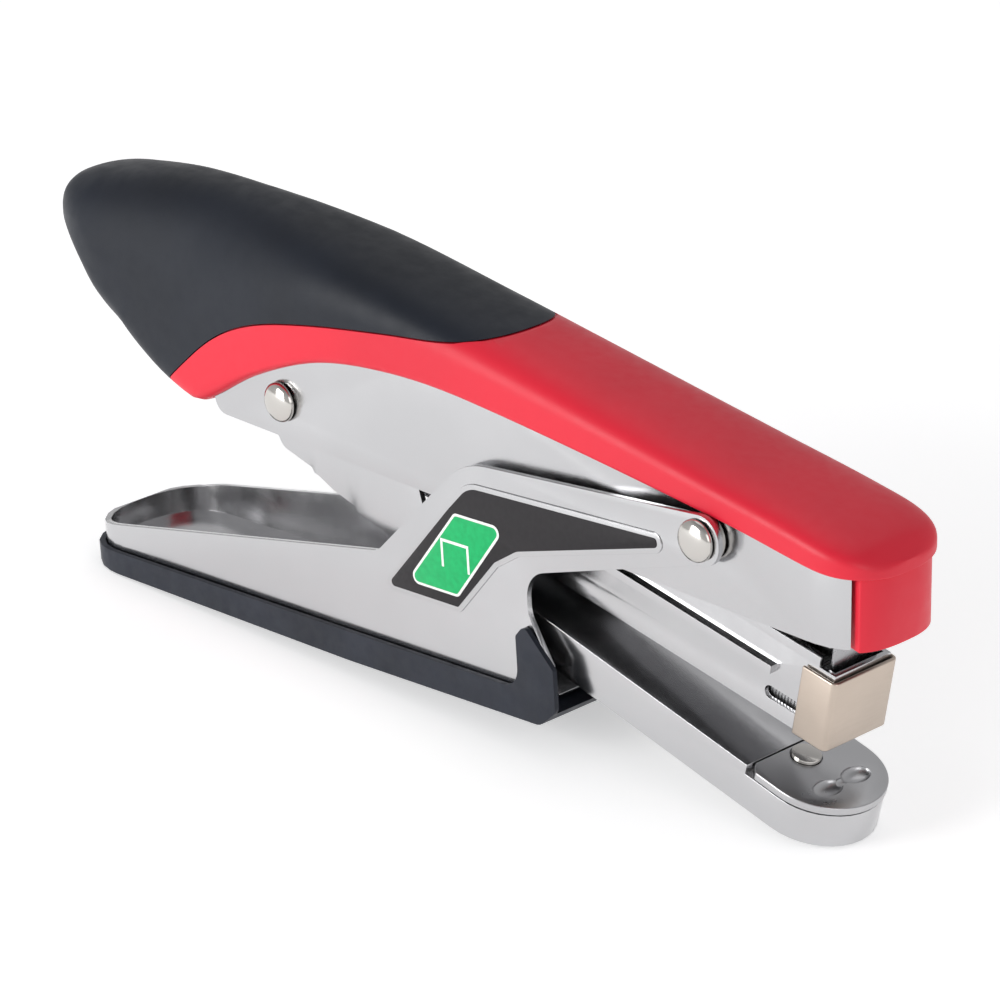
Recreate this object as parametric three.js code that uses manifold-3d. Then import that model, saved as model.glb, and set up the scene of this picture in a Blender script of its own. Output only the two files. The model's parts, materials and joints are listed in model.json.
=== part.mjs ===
// Plier stapler: an upper handle with a driver in its nose, a hinged staple magazine, a hinged anvil arm
// and a lower handle that lifts the arm. Millimetres, +Z up, +X towards the nose, symmetric about Y = 0.
// The origin is at the middle of the length, on the surface that the stapler stands on.
import * as THREE from "three";
import { mergeVertices } from "three/addons/utils/BufferGeometryUtils.js";
import Module from "manifold-3d";

const wasm = await Module();
wasm.setup();

// ---------- Driving dimensions ----------
const GAP = 0.3; // between pieces that touch
const SLIDE = 0.4; // between pieces that move past each other
const CUT = 5; // how far a cutting body reaches past the piece it cuts
const DEG = Math.PI / 180;

// Layout of the four hinged bodies, measured from the rear pivot
const NOSE_REACH = 141.8;
const TAIL_REACH = 69.7;
const PIVOT_SPACING = 107.6;
const FRONT_PIVOT_RISE = 5.3;
const MAGAZINE_DROP = 10.4; // degrees below level
const ARM_DROP = 14;
const LOWER_TILT = 3.4; // degrees above level
const MAGAZINE_LIFT = 3.6; // degrees that the magazine rises in a stroke
const REAR_PIVOT_X = (TAIL_REACH - NOSE_REACH) / 2;

// Staples
const CROWN = 11.1;
const LEG = 6.5;
const WIRE = 0.7;
const STRIP_LENGTH = 50;

// Sheet thicknesses
const MAGAZINE_WALL = 0.9;
const ARM_WALL = 1.1;
const CHANNEL_WALL = 1.2;
const PLATE_WALL = 1.1;
const COVER_RIM = 1.0;
const RUBBER_WALL = 1.0;

// Half widths, from the staple outwards
const MAGAZINE_IN = CROWN / 2 + 0.45;
const MAGAZINE_OUT = MAGAZINE_IN + MAGAZINE_WALL;
const NOSE_BLOCK_WALL = 0.7;
const NOSE_BLOCK_OUT = MAGAZINE_OUT + GAP + NOSE_BLOCK_WALL;
const LEDGE = 1.6; // how far the ledge along the magazine stands out
const LEDGE_OUT = MAGAZINE_OUT + LEDGE;
const ARM_REAR_IN = LEDGE_OUT + SLIDE;
const ARM_REAR_OUT = ARM_REAR_IN + ARM_WALL;
const CHANNEL_IN = ARM_REAR_OUT + SLIDE;
const CHANNEL_OUT = CHANNEL_IN + CHANNEL_WALL;
const COVER_IN = CHANNEL_OUT + GAP;
const COVER_OUT = COVER_IN + COVER_RIM;
const PLATE_IN = COVER_OUT + GAP;
const PLATE_OUT = PLATE_IN + PLATE_WALL;
const RUBBER_IN = PLATE_OUT + GAP;
const RUBBER_OUT = RUBBER_IN + RUBBER_WALL;
const ARM_FRONT_OUT = CHANNEL_OUT - 0.6;

// Magazine, heights from the rear pivot in its own tilted frame
const MAGAZINE_BOTTOM = -4.5;
const MAGAZINE_HEIGHT = 15.9;
const MAGAZINE_TOP = MAGAZINE_BOTTOM + MAGAZINE_HEIGHT;
const MAGAZINE_FRONT = NOSE_REACH - 9.4;
const FLOOR_REAR = 36;
const DRIVER_SLOT = 1.8;
const LEDGE_BOTTOM = 4.1;
const LEDGE_THICK = 1.5;
const NOSE_BLOCK_HEIGHT = 13.3;
const NOSE_BLOCK_LENGTH = 7.6;

// Arm, heights from the rear pivot in its own tilted frame
const ARM_TOP = -5.6;
const ARM_HEIGHT = 8.2;
const ARM_BOTTOM = ARM_TOP - ARM_HEIGHT;
const ARM_LENGTH = NOSE_REACH - 2.2;
const REAR_PIVOT_HEIGHT = ARM_LENGTH * Math.sin(ARM_DROP * DEG) - ARM_BOTTOM * Math.cos(ARM_DROP * DEG);
const WEB_REAR = 38;
const ANVIL_THICK = 1.5;
const ANVIL_LENGTH = 18.5;

// Lower handle, from the front pivot in its own tilted frame
const HANDLE_REACH = 167.5;
const LINK_RADIUS = 4.7;
const FRAME_BOTTOM = -40.7;
const RUBBER_BOTTOM = -43.8;
const RUBBER_TOP = -38.2;
const ARCH_X = -42.4;
const TOE_X = -37.2;

// Pins and rivets
const REAR_PIN_RADIUS = 2.2;
const FRONT_PIN_RADIUS = 2.6;
const HEAD_RADIUS = 3.8;
const HEAD_RISE = 1.9;
const SPACER_RADIUS = 4.2;

// Cover
const COVER_WALL = 2.8;
const GRIP_SKIN = 1.2;
const NOSE_ROUND = 13;
const TAIL_ROUND = 24;

// ---------- Materials ----------
const finish = (color, roughness, metalness) =>
  new THREE.MeshStandardMaterial({ color, roughness, metalness });
const RED = finish(0xd42c3c, 0.45, 0);
const BLACK_GRIP = finish(0x1b1f27, 0.7, 0);
const RUBBER = finish(0x2c3038, 0.8, 0);
const CHROME = finish(0xc6c8ca, 0.15, 1);
const NICKEL = finish(0xb9ab9c, 0.35, 1);
const SPRING_STEEL = finish(0x8d9094, 0.3, 1);
const STAPLE_STEEL = finish(0xb5b7ba, 0.3, 1);
const BLACK_LABEL = finish(0x2c2a2c, 0.4, 0);
const GREEN_LABEL = finish(0x2eb46c, 0.4, 0);

// ---------- Shape helpers ----------

// A closed solid from a geometry whose only shared data is position.
function solid(geometry) {
  const loose = geometry.index ? geometry.toNonIndexed() : geometry;
  const bare = new THREE.BufferGeometry().setAttribute("position", loose.getAttribute("position"));
  const merged = mergeVertices(bare);
  const corners = merged.index.array;
  const kept = [];
  for (let i = 0; i < corners.length; i += 3) {
    const [a, b, c] = corners.slice(i, i + 3);
    if (a !== b && b !== c && c !== a) kept.push(a, b, c);
  }
  return new wasm.Manifold(
    new wasm.Mesh({
      numProp: 3,
      vertProperties: merged.attributes.position.array,
      triVerts: new Uint32Array(kept),
    }),
  );
}

const join = (...parts) => parts.reduce((a, b) => a.add(b));
const cut = (body, ...tools) => tools.reduce((a, b) => a.subtract(b), body);

// A named mesh of a solid.
function piece(name, material, body) {
  const made = body.getMesh();
  const geometry = new THREE.BufferGeometry()
    .setAttribute("position", new THREE.BufferAttribute(new Float32Array(made.vertProperties), 3))
    .setIndex(new THREE.BufferAttribute(new Uint32Array(made.triVerts), 1));
  const mesh = new THREE.Mesh(geometry, material);
  mesh.name = name;
  return mesh;
}

// A closed outline through corners [u, v, radius], each corner with a radius rounded by a tangent arc.
function outline(corners) {
  const shape = new THREE.Shape();
  corners.forEach(([u, v, radius = 0], i) => {
    const corner = new THREE.Vector2(u, v);
    const [bu, bv] = corners.at(i - 1);
    const [au, av] = corners[(i + 1) % corners.length];
    const back = new THREE.Vector2(bu, bv).sub(corner).normalize();
    const ahead = new THREE.Vector2(au, av).sub(corner).normalize();
    const half = Math.acos(THREE.MathUtils.clamp(back.dot(ahead), -1, 1)) / 2;
    if (!radius) {
      if (i) shape.lineTo(u, v);
      else shape.moveTo(u, v);
      return;
    }
    const middle = back.clone().add(ahead).normalize();
    const centre = corner.clone().addScaledVector(middle, radius / Math.sin(half));
    const start = corner.clone().addScaledVector(back, radius / Math.tan(half)).sub(centre);
    const end = corner.clone().addScaledVector(ahead, radius / Math.tan(half)).sub(centre);
    const clockwise = start.cross(end) < 0;
    if (i === 1) shape.lineTo(centre.x + start.x, centre.y + start.y);
    shape.absarc(centre.x, centre.y, radius, start.angle(), end.angle(), clockwise);
  });
  shape.closePath();
  return shape;
}

const extrude = (shape, depth, curveSegments = 3) =>
  new THREE.ExtrudeGeometry(shape, { depth, bevelEnabled: false, curveSegments });

// A side outline in X and Z, from y0 to y1.
const sideways = (shape, y0, y1, curveSegments) =>
  solid(extrude(shape, y1 - y0, curveSegments).rotateX(Math.PI / 2).translate(0, y1, 0));

// A plan outline in X and Y, from z0 to z1.
const upright = (shape, z0, z1) => solid(extrude(shape, z1 - z0).translate(0, 0, z0));

const box = (x0, x1, y0, y1, z0, z1) =>
  solid(
    new THREE.BoxGeometry(x1 - x0, y1 - y0, z1 - z0).translate((x0 + x1) / 2, (y0 + y1) / 2, (z0 + z1) / 2),
  );

// A box that is symmetric about Y = 0.
const bar = (x0, x1, half, z0, z1) => box(x0, x1, -half, half, z0, z1);

// A round pin across the stapler.
const pin = (radius, y0, y1, x = 0, z = 0, sides = 24) =>
  solid(new THREE.CylinderGeometry(radius, radius, y1 - y0, sides).translate(x, (y0 + y1) / 2, z));

// A round pin that stands up.
const post = (radius, x, y, z0, z1, sides = 20) =>
  solid(
    new THREE.CylinderGeometry(radius, radius, z1 - z0, sides)
      .rotateX(Math.PI / 2)
      .translate(x, y, (z0 + z1) / 2),
  );

// A domed rivet across the stapler, its heads starting at y = ±inner.
function rivet(shank, head, rise, inner, x = 0, z = 0) {
  const profile = [new THREE.Vector2(0, -inner - rise)];
  const steps = 5;
  for (let i = 1; i <= steps; i += 1) {
    const turn = (i / steps) * (Math.PI / 2);
    profile.push(new THREE.Vector2(head * Math.sin(turn), -inner - 0.4 - (rise - 0.4) * Math.cos(turn)));
  }
  profile.push(new THREE.Vector2(head, -inner), new THREE.Vector2(shank, -inner));
  const mirrored = profile.map((p) => new THREE.Vector2(p.x, -p.y)).reverse();
  return solid(new THREE.LatheGeometry([...profile, ...mirrored], 24).translate(x, 0, z));
}

// A wire of round section along a curve.
function wire(curve, radius, steps, sides = 6) {
  const section = new THREE.Shape().absarc(0, 0, radius, 0, 2 * Math.PI, false);
  return solid(
    new THREE.ExtrudeGeometry(section, {
      steps,
      extrudePath: curve,
      bevelEnabled: false,
      curveSegments: sides / 2,
    }),
  );
}

// A height that runs smoothly through points [x, z] with rising x.
function profile(points) {
  return (x) => {
    const last = points.length - 1;
    const at = THREE.MathUtils.clamp(x, points[0][0], points[last][0]);
    const i = Math.min(last - 1, Math.max(0, points.findIndex((p) => p[0] >= at) - 1));
    const slope = (j) => {
      const [before, after] = [points[Math.max(0, j - 1)], points[Math.min(last, j + 1)]];
      return (after[1] - before[1]) / (after[0] - before[0]);
    };
    const [[x0, z0], [x1, z1]] = [points[i], points[i + 1]];
    const width = x1 - x0;
    const t = (at - x0) / width;
    const rise = t * t * (3 - 2 * t);
    const lead = t * (1 - t) * (1 - t) * width;
    const trail = t * t * (t - 1) * width;
    return z0 + (z1 - z0) * rise + slope(i) * lead + slope(i + 1) * trail;
  };
}

const roundOff = (u, power) => Math.max(0, 1 - Math.abs(u) ** power) ** (1 / power);

// ---------- Upper handle, drawn from the rear pivot ----------

const coverTop = profile([
  [-TAIL_REACH, 20.8],
  [-TAIL_REACH + 1.6, 25],
  [-TAIL_REACH + 5, 27.9],
  [-TAIL_REACH + 15.6, 30.6],
  [-36.1, 33.2],
  [-11.1, 33.4],
  [13.9, 31.2],
  [39.9, 27.5],
  [NOSE_REACH - 38, 17.5],
  [NOSE_REACH - 13, 13.6],
  [NOSE_REACH - 4, 10.9],
  [NOSE_REACH, 7.7],
]);
const coverBottom = profile([
  [-TAIL_REACH, 20.4],
  [-TAIL_REACH + 2, 17.4],
  [-TAIL_REACH + 7.5, 13.9],
  [-52.1, 4.6],
  [-36.1, -2.9],
  [-24, -6.2],
  [-20.6, -5.4],
  [-6.2, 3.4],
  [10.9, 10.3],
  [28.8, 13.1],
  [49.7, 13.4],
  [PIVOT_SPACING + 2.2, FRONT_PIVOT_RISE + 3.5],
  [NOSE_REACH - 9.5, 6],
  [NOSE_REACH, 5.6],
]);
const coverHalfWidth = profile([
  [-TAIL_REACH + TAIL_ROUND, COVER_OUT + 1],
  [-25, COVER_OUT + 1.3],
  [5, COVER_OUT + 1.3],
  [38, COVER_OUT],
  [NOSE_REACH, COVER_OUT],
]);

// The share of the full half width that is left near the rounded tail and nose.
function endRound(x, inset) {
  const tail = (-TAIL_REACH + TAIL_ROUND - x) / (TAIL_ROUND - inset);
  const nose = (x - NOSE_REACH + NOSE_ROUND) / (NOSE_ROUND - inset);
  return roundOff(Math.max(0, tail), 2.2) * roundOff(Math.max(0, nose), 2.7);
}

// The pillow-shaped skin of the upper handle, drawn in by insetY at the sides and insetZ above and below.
function handleSkin(insetY, insetZ, halfWidth = coverHalfWidth) {
  const around = 24;
  const stations = 26;
  const positions = [];
  const index = [];
  const [x0, x1] = [-TAIL_REACH + insetZ, NOSE_REACH - insetZ];
  for (let i = 0; i <= stations; i += 1) {
    const x = x0 + ((x1 - x0) * (1 - Math.cos((Math.PI * i) / stations))) / 2;
    const half = Math.max(0.4, (halfWidth(x) - insetY) * endRound(x, insetZ));
    const [top, bottom] = [coverTop(x) - insetZ, coverBottom(x) + insetZ];
    const middle = bottom + Math.min(10, 0.45 * (top - bottom));
    const under = THREE.MathUtils.mapLinear(THREE.MathUtils.clamp(x, -45, -8), -45, -8, 2.6, 10);
    for (let k = 0; k < around; k += 1) {
      const turn = (2 * Math.PI * k) / around;
      const [across, up] = [Math.cos(turn), Math.sin(turn)];
      const power = up > 0 ? 2.5 : under;
      const reach = up > 0 ? top - middle : middle - bottom;
      const y = half * Math.sign(across) * Math.abs(across) ** (2 / power);
      const z = middle + Math.max(0.2, reach) * Math.sign(up) * Math.abs(up) ** (2 / power);
      positions.push(x, y, z);
    }
  }
  for (let i = 0; i < stations; i += 1) {
    for (let k = 0; k < around; k += 1) {
      const [a, b] = [i * around + k, i * around + ((k + 1) % around)];
      index.push(a, b, a + around, b, b + around, a + around);
    }
  }
  const last = stations * around;
  for (let k = 1; k < around - 1; k += 1) {
    index.push(0, k + 1, k, last, last + k, last + k + 1);
  }
  const geometry = new THREE.BufferGeometry()
    .setAttribute("position", new THREE.Float32BufferAttribute(positions, 3))
    .setIndex(index);
  return solid(geometry);
}

// The plan of the channel with its rounded nose, drawn in by inset.
function channelPlan(inset) {
  const half = CHANNEL_OUT - inset;
  const start = NOSE_REACH - NOSE_ROUND;
  const reach = NOSE_ROUND - (COVER_OUT - CHANNEL_OUT) - inset;
  const shape = new THREE.Shape();
  const steps = 14;
  shape.moveTo(-TAIL_REACH, half);
  shape.lineTo(-TAIL_REACH, -half);
  for (let i = 0; i <= steps; i += 1) {
    const turn = -Math.PI / 2 + (Math.PI * i) / steps;
    const [x, y] = [Math.cos(turn), Math.sin(turn)];
    const stretch = (Math.abs(x) ** 2.7 + Math.abs(y) ** 2.7) ** (-1 / 2.7);
    shape.lineTo(start + reach * x * stretch, half * y * stretch);
  }
  shape.closePath();
  return shape;
}

const CHANNEL_BOTTOM = -7;
const CHANNEL_TAIL = -37;
const WEB_NOSE_Z = 7;
const WEB_MID_X = 40;
const WEB_MID_Z = 18.5;
const WEB_REAR_Z = 20;

// The side outline of the channel, drawn in by inset at its web and rear and let down by drop.
const channelSide = (inset, drop) =>
  outline([
    [-19 + inset, CHANNEL_BOTTOM - drop, drop ? 0 : 3],
    [NOSE_REACH, CHANNEL_BOTTOM - drop],
    [NOSE_REACH, WEB_NOSE_Z - inset],
    [WEB_MID_X, WEB_MID_Z - inset, 30],
    [-8, WEB_REAR_Z - inset, 12],
    [CHANNEL_TAIL + inset, WEB_REAR_Z - 3 - inset, 5],
    [CHANNEL_TAIL + inset, 6],
    [-19 + inset, CHANNEL_BOTTOM + 4, 2],
  ]);

const webHeight = (x) =>
  WEB_MID_Z + ((x - WEB_MID_X) * (WEB_NOSE_Z - WEB_MID_Z)) / (NOSE_REACH - WEB_MID_X);

const SKIRT_HALF = 9;
const SKIRT_X = NOSE_REACH - 6.5;
const SCREW_PLACES = [52, 96];
const SCREW_RADIUS = 1.5;
const SCREW_HEAD = 3;
const BOSS_RADIUS = 3.4;

function handleChannel() {
  const outer = upright(channelPlan(0), -20, 40).intersect(
    sideways(channelSide(0, 0), -CHANNEL_OUT, CHANNEL_OUT),
  );
  const inner = upright(channelPlan(CHANNEL_WALL), -20, 40).intersect(
    sideways(channelSide(CHANNEL_WALL, 6), -CHANNEL_OUT, CHANNEL_OUT),
  );
  const frontOpening = bar(SKIRT_X, NOSE_REACH, SKIRT_HALF + GAP, -20, WEB_NOSE_Z + CUT);
  return cut(
    outer,
    inner,
    frontOpening,
    pin(REAR_PIN_RADIUS + GAP, -20, 20),
    pin(FRONT_PIN_RADIUS + GAP, -20, 20, PIVOT_SPACING, FRONT_PIVOT_RISE),
    ...SCREW_PLACES.map((x) => post(SCREW_RADIUS + GAP, x, 0, 0, 40)),
  );
}

// The rear and top of the handle that the grip pad covers, grown by margin.
function gripZone(margin) {
  const side = new THREE.Shape();
  side.moveTo(-90, 34);
  side.lineTo(-35 - margin, -14);
  side.splineThru(
    [
      [-29.4, -2.3],
      [-16.9, 8.3],
      [-5.9, 14],
      [8.9, 17.9],
      [29.5, 21.3],
      [45.2, 23.4],
      [57, 26],
    ].map(([x, z]) => new THREE.Vector2(x, z - margin)),
  );
  side.lineTo(57, 50);
  side.lineTo(-90, 50);
  const plan = new THREE.Shape();
  const tip = 57 + margin;
  plan.moveTo(-90, 20);
  plan.lineTo(-90, -20);
  plan.lineTo(0, -20);
  plan.bezierCurveTo(50, -16, tip, -7, tip, 0);
  plan.bezierCurveTo(tip, 7, 50, 16, 0, 20);
  return sideways(side, -25, 25).intersect(upright(plan, -30, 60));
}

function handleCover(outer) {
  const cavity = handleSkin(0, COVER_WALL, () => COVER_IN);
  const channelRoom = sideways(channelSide(-GAP, 12), -COVER_IN, COVER_IN);
  const nosePlan = upright(channelPlan(-GAP), CHANNEL_BOTTOM - CUT, 40);
  const roomAboveWeb = sideways(channelSide(-GAP - 1.5, 0), -COVER_IN, COVER_IN).intersect(
    upright(channelPlan(2), 0, 40),
  );
  const bosses = SCREW_PLACES.map((x) =>
    cut(
      post(BOSS_RADIUS, x, 0, webHeight(x) + 1, coverTop(x) - COVER_WALL / 2),
      post(SCREW_RADIUS + GAP, x, 0, 0, coverTop(x) - COVER_WALL - 1),
    ),
  );
  const skirt = upright(channelPlan(-2 * GAP), CHANNEL_BOTTOM - GAP, coverBottom(NOSE_REACH) + 1).intersect(
    bar(SKIRT_X + GAP, NOSE_REACH, SKIRT_HALF, CHANNEL_BOTTOM - GAP, 20),
  );
  const skirtRoom = upright(channelPlan(2), CHANNEL_BOTTOM - CUT, WEB_NOSE_Z + GAP);
  const shell = cut(outer, cavity, channelRoom.intersect(nosePlan), roomAboveWeb);
  const spacerRoom = pin(SPACER_RADIUS + SLIDE, -20, 20, PIVOT_SPACING, FRONT_PIVOT_RISE);
  const gripBed = gripZone(GAP).subtract(handleSkin(GRIP_SKIN + GAP, GRIP_SKIN + GAP));
  const bossBed = sideways(channelSide(-GAP, 12), -BOSS_RADIUS - 1, BOSS_RADIUS + 1);
  const bossesOnWeb = bosses.map((boss) => boss.subtract(bossBed));
  const tailTip = bar(-TAIL_REACH - CUT, -TAIL_REACH + CUT, 20, -20, 50);
  return cut(join(shell, cut(skirt, skirtRoom), ...bossesOnWeb), gripBed, tailTip, spacerRoom);
}

function gripPad(outer) {
  return outer.subtract(handleSkin(GRIP_SKIN, GRIP_SKIN)).intersect(gripZone(0));
}

// A pan-head screw from under the channel's web up into the cover.
function coverScrew(x) {
  const slope = CHANNEL_WALL + GAP + 0.4;
  const seat = webHeight(x) - slope;
  return join(
    post(SCREW_RADIUS, x, 0, seat, coverTop(x) - COVER_WALL - 1.6),
    post(SCREW_HEAD, x, 0, seat - 1.6, seat),
  );
}

// The blade stands square to the magazine at the middle of its stroke.
const BLADE_DROP = MAGAZINE_DROP - MAGAZINE_LIFT / 2;
const BLADE_THICK = 0.7;
const BLADE_HALF = CROWN / 2 - 0.1;
const BLADE_X = MAGAZINE_FRONT - MAGAZINE_WALL - DRIVER_SLOT / 2 - BLADE_THICK / 2 - 0.2;
const STAPLE_FOOT = MAGAZINE_BOTTOM + MAGAZINE_WALL + GAP;
const BLADE_FOOT = STAPLE_FOOT + LEG + GAP - BLADE_X * Math.sin((MAGAZINE_LIFT / 2) * DEG);
const BLADE_LENGTH = 21;

function driverBlade() {
  return cut(
    bar(BLADE_X, BLADE_X + BLADE_THICK, BLADE_HALF, BLADE_FOOT, BLADE_FOOT + BLADE_LENGTH),
    box(BLADE_X - 1, BLADE_X + 2, -1.5, 1.5, BLADE_FOOT + BLADE_LENGTH - 5, BLADE_FOOT + BLADE_LENGTH - 3),
  );
}

const BRACKET_WALL = 1.2;

// A bent bracket under the nose of the channel that the blade is fixed to.
function driverBracket() {
  const rear = BLADE_X - GAP - BRACKET_WALL;
  const side = outline([
    [rear - 14, BLADE_FOOT + 13],
    [rear - 14, BLADE_FOOT + 25, 2],
    [rear + BRACKET_WALL, BLADE_FOOT + 25, 2],
    [rear + BRACKET_WALL, BLADE_FOOT + 9.5],
    [rear - 3, BLADE_FOOT + 9.5, 2],
  ]);
  const half = MAGAZINE_IN - GAP;
  const hollow = outline([
    [rear - 14 - CUT, BLADE_FOOT + 1],
    [rear - 14 - CUT, BLADE_FOOT + 25 - BRACKET_WALL],
    [rear, BLADE_FOOT + 25 - BRACKET_WALL],
    [rear, BLADE_FOOT + 1],
  ]);
  return sideways(side, -half, half).subtract(
    sideways(hollow, -half + BRACKET_WALL, half - BRACKET_WALL),
  );
}

const SPRING_WIRE = 0.8;
const RETURN_COIL = 4.1;
const RETURN_TURNS = 4;

// Torsion spring round the rear rivet, one leg under the channel's web and one behind the arm's web.
function returnSpring() {
  const turns = [];
  const steps = 10 * RETURN_TURNS;
  const lead = (2 * SPRING_WIRE + 0.5) / (2 * Math.PI);
  const first = 40 * DEG;
  const half = (lead * RETURN_TURNS * 2 * Math.PI) / 2;
  turns.push(new THREE.Vector3(26, -half, 15), new THREE.Vector3(14, -half, 11.5));
  for (let i = 0; i <= steps; i += 1) {
    const turn = first + (i * 2 * Math.PI * (RETURN_TURNS + 0.55)) / steps;
    turns.push(
      new THREE.Vector3(
        RETURN_COIL * Math.cos(turn + Math.PI / 2),
        -half + (2 * half * i) / steps,
        RETURN_COIL * Math.sin(turn + Math.PI / 2),
      ),
    );
  }
  turns.push(new THREE.Vector3(12, half, -8.2), new THREE.Vector3(28, half, -12.4));
  return wire(new THREE.CatmullRomCurve3(turns, false, "centripetal"), SPRING_WIRE, 70);
}

// A bent strip under the channel's web that presses the magazine down.
function magazineSpring() {
  const drop = MAGAZINE_DROP * DEG;
  const onMagazine = (x) => [
    x * Math.cos(drop) + MAGAZINE_TOP * Math.sin(drop),
    -x * Math.sin(drop) + (MAGAZINE_TOP + GAP) * Math.cos(drop),
  ];
  const [footX, footZ] = onMagazine(66);
  const headZ = WEB_MID_Z - CHANNEL_WALL - GAP - 0.4;
  const shape = new THREE.Shape();
  const thick = 0.6;
  shape.moveTo(18, headZ);
  shape.lineTo(36, headZ);
  shape.bezierCurveTo(50, headZ - 1, footX - 12, footZ + 1.5, footX, footZ + thick);
  shape.lineTo(footX + 5, footZ + 1.6 + thick);
  shape.lineTo(footX + 5, footZ + 1.6);
  shape.lineTo(footX, footZ);
  shape.bezierCurveTo(footX - 12, footZ + 1.5 - thick, 50, headZ - 1 - thick, 36, headZ - thick);
  shape.lineTo(18, headZ - thick);
  shape.closePath();
  return sideways(shape, -MAGAZINE_OUT, MAGAZINE_OUT, 8);
}

function frontSpacer(side) {
  const [y0, y1] = [CHANNEL_OUT + GAP, PLATE_IN - GAP];
  const ring = cut(pin(SPACER_RADIUS, y0, y1), pin(FRONT_PIN_RADIUS + GAP, 0, 30));
  return side > 0 ? ring : ring.mirror([0, 1, 0]);
}

// ---------- Magazine, drawn along its own length from the rear pivot ----------

const WINDOW_HEIGHT = 2.4;

function magazineChannel() {
  const body = sideways(
    outline([
      [-5.5, MAGAZINE_BOTTOM, 4],
      [MAGAZINE_FRONT, MAGAZINE_BOTTOM],
      [MAGAZINE_FRONT, MAGAZINE_TOP, 1.5],
      [-5.5, MAGAZINE_TOP, 5],
    ]),
    -MAGAZINE_OUT,
    MAGAZINE_OUT,
  );
  const inside = bar(-20, MAGAZINE_FRONT - MAGAZINE_WALL, MAGAZINE_IN, MAGAZINE_BOTTOM + MAGAZINE_WALL, 30);
  const rearFloor = bar(-20, FLOOR_REAR, MAGAZINE_IN, -20, 30);
  const slotRear = MAGAZINE_FRONT - MAGAZINE_WALL - DRIVER_SLOT;
  const driverSlot = bar(slotRear, MAGAZINE_FRONT - MAGAZINE_WALL, MAGAZINE_IN, -20, 30);
  const frontTopZ = MAGAZINE_BOTTOM + NOSE_BLOCK_HEIGHT + 0.8;
  const frontTop = bar(slotRear - 1, NOSE_REACH, MAGAZINE_OUT + 1, frontTopZ, 30);
  const window = sideways(
    outline(
      [
        [MAGAZINE_FRONT - 14.3, -1.6],
        [MAGAZINE_FRONT - 4, -1.6],
        [MAGAZINE_FRONT - 4, -1.6 + WINDOW_HEIGHT],
        [MAGAZINE_FRONT - 14.3, -1.6 + WINDOW_HEIGHT],
      ].map(([x, z]) => [x, z, WINDOW_HEIGHT / 2 - 0.01]),
    ),
    -20,
    20,
  );
  const ledge = cut(
    bar(FLOOR_REAR, MAGAZINE_FRONT - 12.5, LEDGE_OUT, LEDGE_BOTTOM, LEDGE_BOTTOM + LEDGE_THICK),
    bar(0, NOSE_REACH, MAGAZINE_IN + 0.4, LEDGE_BOTTOM - 1, LEDGE_BOTTOM + LEDGE_THICK + 1),
  );
  return cut(
    join(cut(body, inside), ledge),
    rearFloor,
    driverSlot,
    frontTop,
    window,
    pin(REAR_PIN_RADIUS + GAP, -20, 20),
  );
}

function noseBlock() {
  const x1 = MAGAZINE_FRONT + GAP + NOSE_BLOCK_WALL + 0.1;
  const x0 = x1 - NOSE_BLOCK_LENGTH;
  const corner = 1.2;
  const plan = outline([
    [x0, -NOSE_BLOCK_OUT],
    [x1, -NOSE_BLOCK_OUT, corner],
    [x1, NOSE_BLOCK_OUT, corner],
    [x0, NOSE_BLOCK_OUT],
  ]);
  return cut(
    upright(plan, MAGAZINE_BOTTOM - 0.1, MAGAZINE_BOTTOM + NOSE_BLOCK_HEIGHT),
    bar(x0 - 1, MAGAZINE_FRONT + GAP, MAGAZINE_OUT + GAP, -20, 30),
  );
}

const CORE_HALF = CROWN / 2 - WIRE - GAP;
const CORE_TOP = STAPLE_FOOT + LEG - WIRE - GAP;
const STRIP_FRONT = MAGAZINE_FRONT - MAGAZINE_WALL - DRIVER_SLOT - GAP;

// The inner rail that the staples straddle, an inverted trough.
function stapleCore() {
  const x1 = MAGAZINE_FRONT - MAGAZINE_WALL - DRIVER_SLOT - GAP;
  return cut(
    bar(FLOOR_REAR + 1, x1, CORE_HALF, STAPLE_FOOT, CORE_TOP),
    bar(FLOOR_REAR, x1 + 1, CORE_HALF - MAGAZINE_WALL, STAPLE_FOOT - 1, CORE_TOP - MAGAZINE_WALL),
  );
}

function stapleStrip() {
  const [x0, x1] = [STRIP_FRONT - STRIP_LENGTH, STRIP_FRONT];
  return cut(
    bar(x0, x1, CROWN / 2, STAPLE_FOOT, STAPLE_FOOT + LEG),
    bar(x0 - 1, x1 + 1, CROWN / 2 - WIRE, STAPLE_FOOT - 1, STAPLE_FOOT + LEG - WIRE),
  );
}

const FOLLOWER_LENGTH = 9;
const FOLLOWER_FRONT = STRIP_FRONT - STRIP_LENGTH - GAP;
const ROD_RADIUS = 1.2;
const ROD_HEIGHT = 6.6;

// The follower straddles the core behind the staples and runs on the guide rod.
function stapleFollower() {
  const [x0, x1] = [FOLLOWER_FRONT - FOLLOWER_LENGTH, FOLLOWER_FRONT];
  return cut(
    bar(x0, x1, CROWN / 2, STAPLE_FOOT + GAP, ROD_HEIGHT + 3),
    bar(x0 - 1, x1 + 1, CORE_HALF + GAP, STAPLE_FOOT - 1, CORE_TOP + GAP),
    solid(
      new THREE.CylinderGeometry(ROD_RADIUS + GAP, ROD_RADIUS + GAP, 40, 16)
        .rotateZ(Math.PI / 2)
        .translate((x0 + x1) / 2, 0, ROD_HEIGHT),
    ),
  );
}

function guideRod() {
  const [x0, x1] = [FLOOR_REAR + 1.5, STRIP_FRONT - 10];
  return solid(
    new THREE.CylinderGeometry(ROD_RADIUS, ROD_RADIUS, x1 - x0, 16)
      .rotateZ(Math.PI / 2)
      .translate((x0 + x1) / 2, 0, ROD_HEIGHT),
  );
}

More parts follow.
